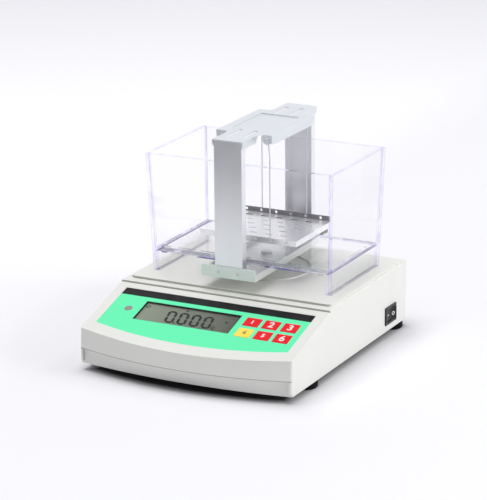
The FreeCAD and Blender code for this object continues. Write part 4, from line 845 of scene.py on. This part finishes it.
# Painted highlight: the floors of the beam's grooves are painted white.
paint_over(BEAM_METAL, pressed_ribs, (1, 1, 1, 1))
CHANNEL_METAL = metal("channel_metal", tone(246, 250, 247), tone(253, 255, 253), 0.44, SIDEWAYS, 1800.0,
                      0.000008)
TRAY_METAL = metal("tray_metal", tone(250, 250, 252), tone(254, 254, 255), 0.22, LENGTHWAYS, 1500.0, 0.000001,
                   bare=0.6)
# Painted reflection: the inside of the tray's rear flange is painted darker, as if it mirrored something
# dark.
paint_over(TRAY_METAL, rear_flange, tone(132, 130, 134))
WIRE_STEEL = metal("wire_steel", tone(190, 192, 197), tone(212, 214, 218), 0.3, UPRIGHT, 3000.0, 0.000004)
ZINC = metal("bright_zinc", tone(196, 200, 206), tone(222, 226, 230), 0.3, EVEN, 1200.0, 0.00001)
ALUMINIUM = metal("milled_aluminium", tone(200, 202, 204), tone(226, 228, 230), 0.34, SIDEWAYS, 900.0,
                  0.00002)
BRASS = metal("turned_brass", tone(178, 142, 74), tone(214, 178, 104), 0.3, EVEN, 1600.0, 0.00001)
print("made", sorted(m.name for m in bpy.data.materials if m.users == 0))

# %% [markdown]
# ## Circuit boards
#
# Both boards are closed in, but they are seen when the assembly is taken apart. A brick texture gives tracks
# that run straight and turn square under the green lacquer, which noise never would.

# %% Circuit board


def circuit_board():
    material, tree, shader = start_material("circuit_board", tone(20, 96, 60), 0.3, Specular_IOR_Level=0.5)
    tracks = put(tree, "TexBrick", Vector=object_place(tree), Scale=60.0, Mortar_Size=0.06,
                 Color1=tone(18, 104, 62), Color2=tone(24, 118, 70), Mortar=tone(44, 140, 84))
    pads = put(tree, "TexVoronoi", Vector=object_place(tree), Scale=260.0)
    pad = below(pads.outputs["Distance"], 0.16)
    fill(shader, Base_Color=blend_of(tree, times(pad, 0.8), tracks.outputs["Color"], tone(206, 202, 186)))
    fill(shader, Roughness=ramp_of(pad, 0, 1, 0.32, 0.22))
    bump(shader, tracks.outputs["Fac"], 0.00003)
    return material


BOARD = circuit_board()
print("made", BOARD.name)

# %% [markdown]
# ## Finishes on the solid pieces
#
# Each solid keeps its shape and gets its finish in the material slot it already has. The list goes by
# piece, not by slot, because posts, beam and channel share one sheet but not one finish.

# %% Dress the solids


def matching(start):
    return sorted(name for name in nodes if name.startswith(start))


FINISHES = (
    (CASE, "upper_shell", "lower_shell"),
    (FILM, "front_panel"),
    (WINDOW, "display_window"),
    (CRYSTAL, "display_module"),
    (LENS, "indicator_lens"),
    (KEY_YELLOW, "key_1"),
    (KEY_RED, "key_2", "key_3", "key_4", "key_5", "key_6"),
    (SWITCH_BLACK, "switch_frame", "switch_rocker", "key_switches", "power_inlet"),
    (RUBBER_BLACK, *matching("foot_pad")),
    (ACRYLIC_X, "tank_left_wall", "tank_right_wall"),
    (ACRYLIC_Y, "tank_front_wall", "tank_back_wall"),
    (ACRYLIC_Z, "tank_floor"),
    (ACRYLIC_STRIP, "tank_support_strips"),
    (POST_METAL, "front_post", "rear_post"),
    (BEAM_METAL, "top_beam"),
    (CHANNEL_METAL, "bottom_channel"),
    (TRAY_METAL, "tray"),
    (WIRE_STEEL, "hanger_wires", *matching("foot_stud")),
    (ZINC, *(name for name in sorted(nodes) if name.endswith("screws"))),
    (ALUMINIUM, "load_cell", "cell_spacer", "hub_bracket"),
    (BRASS, "foot_bushes"),
    (BOARD, "main_board", "display_board"),
)
for material, *names in FINISHES:
    for name in names:
        for place in nodes[name].material_slots:
            place.material = material
made_here = {m for m in bpy.data.materials if m.name.islower() and m.use_nodes}
print("dressed", sum(all(s.material in made_here for s in o.material_slots) for o in nodes.values()), "nodes")

# %% [markdown]
# ## Tools for the new pieces
#
# New pieces are made as by hand: a primitive at its real size, then edit mode. An operator works on
# everything that is selected, so each piece starts with nothing selected, and its edges are picked by where
# they are or which way they run.

# %% Modelling helpers
SMOOTH_ANGLE = math.radians(35)


def clear_selection():
    if bpy.context.object and bpy.context.object.mode != "OBJECT":
        bpy.ops.object.mode_set(mode="OBJECT")
    bpy.ops.object.select_all(action="DESELECT")


def apply_place():
    bpy.ops.object.transform_apply(location=True, rotation=True, scale=True)


def new_box(name, size, middle):
    clear_selection()
    bpy.ops.mesh.primitive_cube_add(size=1, location=middle)
    piece = bpy.context.object
    piece.name = name
    piece.scale = size
    apply_place()
    return piece


def select_only(piece):
    clear_selection()
    piece.select_set(True)
    bpy.context.view_layer.objects.active = piece


def edit(piece):
    select_only(piece)
    bpy.ops.object.mode_set(mode="EDIT")


def bevel_edges(piece, test, **how):
    """Bevels the edges that pass the test."""
    edit(piece)
    bpy.ops.mesh.select_mode(type="EDGE")
    bpy.ops.mesh.select_all(action="DESELECT")
    shape = bmesh.from_edit_mesh(piece.data)
    for edge in shape.edges:
        if test(edge):
            edge.select_set(True)
    shape.select_flush_mode()
    bmesh.update_edit_mesh(piece.data)
    bpy.ops.mesh.bevel(affect="EDGES", **how)
    bpy.ops.object.mode_set(mode="OBJECT")


def join_pieces(name, pieces):
    select_only(pieces[0])
    for piece in pieces:
        piece.select_set(True)
    bpy.ops.object.join()
    pieces[0].name = name
    pieces[0].data.name = name
    return pieces[0]


def finish_piece(piece, material, body):
    """Gives a finished piece its material, its smooth shading and the body that carries it."""
    select_only(piece)
    bpy.ops.object.shade_smooth_by_angle(angle=SMOOTH_ANGLE)
    piece.data.materials.clear()
    piece.data.materials.append(material)
    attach(piece, body)
    print(piece.name, "on", body, len(piece.data.polygons), "faces")


print("tools ready")

# %% [markdown]
# ## The digits of the display
#
# The reading is four noughts, the first followed by a point. A nought is six bars with pointed ends, which
# meet at a mitre with a hair of space. A bar is modelled once, as a thin box whose end edges are bevelled to
# points, and copied with its own mesh for each place in the digit. Digits lean, so each is sheared.

# %% Display digits
INK = 0.03
INK_GAP = 0.01
DIGIT_HEIGHT = 14.2
DIGIT_WIDTH = 6.2
BAR_WIDTH = 2.3
BAR_GAP = 0.25
DIGIT_FIRST = -29.2
DIGIT_PITCH = 11.1
DIGIT_FOOT = 27.3
DIGIT_LEAN = -0.15


def glass_out():
    """How far out of the slope the glass lies, in millimetres, from its highest point."""
    inverse = PANEL.inverted()
    return max((inverse @ v.co).z for v in nodes["display_module"].data.vertices)


def flat_mark(name, size, place, rounding, segments=3):
    """A flat box, by its middle on the slope, whose upright edges are bevelled."""
    mark = new_box(name, (*size, INK), (*place, 0))
    bevel_edges(mark, lambda e: abs((e.verts[0].co - e.verts[1].co).normalized().z) > 0.9, offset=rounding,
                segments=segments)
    return mark


def segment_bar(name, length):
    return flat_mark(name, (length, BAR_WIDTH), (0, 0), BAR_WIDTH * 0.48, 1)


def copy_of(piece, matrix):
    """A copy with its own mesh, moved by a matrix."""
    twin = piece.copy()
    twin.data = piece.data.copy()
    twin.data.transform(matrix)
    bpy.context.scene.collection.objects.link(twin)
    return twin


def nought(name):
    """The six bars of a nought, in millimetres, with its lower left corner at the origin."""
    upright = segment_bar(name + "_upright", DIGIT_HEIGHT / 2 - BAR_GAP)
    level = segment_bar(name + "_level", DIGIT_WIDTH - BAR_GAP)
    quarter = Matrix.Rotation(math.radians(90), 4, "Z")
    bars = []
    for side in (0, DIGIT_WIDTH):
        for share in (0.25, 0.75):
            bars.append(copy_of(upright, Matrix.Translation((side, DIGIT_HEIGHT * share, 0)) @ quarter))
    for height in (0, DIGIT_HEIGHT):
        bars.append(copy_of(level, Matrix.Translation((DIGIT_WIDTH / 2, height, 0))))
    for used in (upright, level):
        bpy.data.objects.remove(used)
    return join_pieces(name, bars)


def open_ring(vertices, radius, width, place, turn=(0, 0, 0)):
    """A ring without thickness, left in edit mode: a disc whose middle is inset and taken out."""
    clear_selection()
    bpy.ops.mesh.primitive_circle_add(vertices=vertices, radius=radius, fill_type="NGON", location=place,
                                      rotation=turn)
    ring = bpy.context.object
    apply_place()
    edit(ring)
    bpy.ops.mesh.select_all(action="SELECT")
    bpy.ops.mesh.inset(thickness=width)
    bpy.ops.mesh.delete(type="FACE")
    return ring


def flat_ring(name, radius, width, place):
    """An open ring, made as thick as the ink."""
    ring = open_ring(28, radius, width, (*place, 0))
    ring.name = name
    bpy.ops.mesh.select_all(action="SELECT")
    bpy.ops.mesh.solidify(thickness=INK)
    bpy.ops.object.mode_set(mode="OBJECT")
    ring.data.transform(Matrix.Translation((0, 0, INK / 2)))
    return ring


def display_digits():
    level = glass_out() + INK / 2 + INK_GAP
    shear = Matrix.Identity(4)
    shear[0][1] = DIGIT_LEAN
    parts = []
    for place in range(4):
        digit = nought("digit_%d" % place)
        digit.data.transform(shear)
        left = DIGIT_FIRST + place * DIGIT_PITCH - DIGIT_WIDTH / 2
        digit.data.transform(Matrix.Translation((left, DIGIT_FOOT, 0)))
        parts.append(digit)
    parts += [
        flat_mark("point", (1.7, 1.7), (-24.1, 27.3), 0.3),
        flat_mark("top_mark", (2.6, 1.5), (-20.6, 45.6), 0.4),
        flat_mark("side_mark", (1.9, 2.2), (18.2, 38.2), 0.6),
        flat_ring("steady_ring", 2.0, 0.8, (-55.8, 43.6)),
        flat_ring("unit_ring", 1.7, 0.8, (10.6, 29.2)),
        flat_mark("unit_foot", (2.4, 0.8), (10.8, 26.6), 0.2),
    ]
    digits = join_pieces("display_digits", parts)
    digits.data.transform(PANEL @ Matrix.Translation((0, 0, level)))
    finish_piece(digits, SEGMENTS, "housing")


display_digits()

# %% [markdown]
# ## Numbers on the keys
#
# The keys carry plain numbers from 1 to 6, so a description can name them. Text is set as a font object,
# made a mesh while it still lies at the origin, and only then moved on to its key.

# %% Key numbers
NUMBER_LEVEL = 0.025
NUMBER_HALF = 0.02
NUMBER_BOLDNESS = 0.22
SIZE_OF_HEIGHT = 1.35
KEY_NUMBERS = {"key_4": ("1", 4.6, 0, 1), "key_5": ("2", 7.4, 1, 1), "key_6": ("3", 7.4, 2, 1),
               "key_1": ("4", 4.6, 0, 0), "key_2": ("5", 4.6, 1, 0), "key_3": ("6", 7.4, 2, 0)}


def key_number(key):
    word, height, column, row = KEY_NUMBERS[key]
    clear_selection()
    bpy.ops.object.text_add(location=(0, 0, 0))
    text = bpy.context.object
    text.data.body = word
    text.data.size = height * SIZE_OF_HEIGHT
    text.data.align_x = "CENTER"
    text.data.align_y = "CENTER"
    text.data.extrude = NUMBER_HALF
    text.data.offset = NUMBER_BOLDNESS
    text.data.resolution_u = 6
    bpy.ops.object.convert(target="MESH")
    text = bpy.context.object
    text.name = "number_on_" + key
    text.data.name = text.name
    across, upward = KEY_FIRST[0] + column * KEY_PITCH[0], KEY_FIRST[1] + row * KEY_PITCH[1]
    text.data.transform(PANEL @ Matrix.Translation((across, upward, NUMBER_LEVEL)))
    ink = GREY_MARK if key == "key_1" else WHITE_MARK
    finish_piece(text, ink, key + "_cap")


for key in KEY_NUMBERS:
    key_number(key)

# %% [markdown]
# ## Marks on the rocker
#
# A bar means on and a ring means off on any switch. Both start as thin flat shapes beside the rocker and are
# then pressed on to its curved face with a Shrinkwrap that pushes along one axis, as a stamp would.

# %% Rocker marks
OFF_RADIUS = 0.0016
OFF_WIDTH = 0.0006
ON_BAR = (0.7, 3.2, 1)
PAINT = 0.00004


def stamp(piece, target):
    """Presses a piece on to the target's face, moving it only along X."""
    press = piece.modifiers.new("press", "SHRINKWRAP")
    press.wrap_method = "PROJECT"
    press.target = target
    press.use_project_x = True
    press.use_negative_direction = True
    press.use_positive_direction = False
    press.offset = PAINT
    select_only(piece)
    bpy.ops.object.modifier_apply(modifier="press")


def rocker_marks():
    low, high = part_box("switch_rocker")
    middle = (low + high) / 2
    length = high.y - low.y
    beside, turn = high.x + 0.002, (0, math.radians(90), 0)
    ring = open_ring(32, OFF_RADIUS, OFF_WIDTH, (beside, middle.y + length * 0.25, middle.z), turn)
    bpy.ops.object.mode_set(mode="OBJECT")
    clear_selection()
    bpy.ops.mesh.primitive_grid_add(x_subdivisions=2, y_subdivisions=4, size=MM,
                                    location=(beside, middle.y - length * 0.25, middle.z), rotation=turn)
    bar = bpy.context.object
    bar.scale = ON_BAR
    apply_place()
    marks = join_pieces("rocker_marks", [ring, bar])
    stamp(marks, nodes["switch_rocker"])
    skin = marks.modifiers.new("skin", "SOLIDIFY")
    skin.thickness = PAINT
    skin.offset = 1
    bpy.ops.object.modifier_apply(modifier="skin")
    finish_piece(marks, WHITE_MARK, "power_rocker")


rocker_marks()

# %% [markdown]
# ## Cement in the corners of the tank
#
# The sheets of the tank are glued with a solvent that leaves a thin bead in the inner corners, with bubbles
# in it. A bead is a square bar along the corner whose free edge is hollowed by a bevel with an inward
# profile, which is the shape that a liquid takes between two walls.

# %% Cement beads
BEAD = 0.0016
THIN_BEAD = 0.0008
BEAD_END = 0.001
BEAD_SETBACK = 0.0026
SQUEEZED_END = 0.004


def bead(name, start, end, into, thick):
    """A bar from start to end in a corner. Into points from the corner to its free edge."""
    start, end, into = Vector(start), Vector(end), Vector(into)
    size = [max(abs(part), thick) for part in end - start]
    bar = new_box(name, size, (start + end) / 2 + into * thick / 2)
    free = (start + end) / 2 + into * thick
    bevel_edges(bar, lambda e: ((e.verts[0].co + e.verts[1].co) / 2 - free).length < 1e-5,
                offset=thick * 0.96, segments=4, profile=0.2)
    return bar


def cement_beads():
    floor_low, floor_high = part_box("tank_floor")
    front_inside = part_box("tank_front_wall")[1].y
    back_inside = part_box("tank_back_wall")[0].y
    top = floor_high.z
    left, right_side = floor_low.x + BEAD_END, floor_high.x - BEAD_END
    inner_left, inner_right = left + BEAD_END, right_side - BEAD_END
    near, far = floor_low.y + BEAD_SETBACK, floor_high.y - BEAD_SETBACK
    print("front wall inside", round(front_inside, 4), "back wall inside", round(back_inside, 4))
    corners = (
        ("bead_front", (left, near), (right_side, near), (0, 1, 1)),
        ("bead_back", (left, far), (right_side, far), (0, -1, 1)),
        ("bead_left", (inner_left, near), (inner_left, far), (1, 0, 1)),
        ("bead_right", (inner_right, near), (inner_right, far), (-1, 0, 1)),
    )
    thin = [bead(name, (*start, top), (*end, top), into, THIN_BEAD) for name, start, end, into in corners]
    finish_piece(join_pieces("thin_beads", thin), THIN_CEMENT, "water_tank")
    under, joint = floor_low.z, floor_low.y - BEAD_END
    squeezed = bead("squeezed_bead", (left + SQUEEZED_END, joint, under),
                    (right_side - SQUEEZED_END, joint, under), (0, -1, -1), BEAD)
    finish_piece(squeezed, CEMENT, "water_tank")


cement_beads()
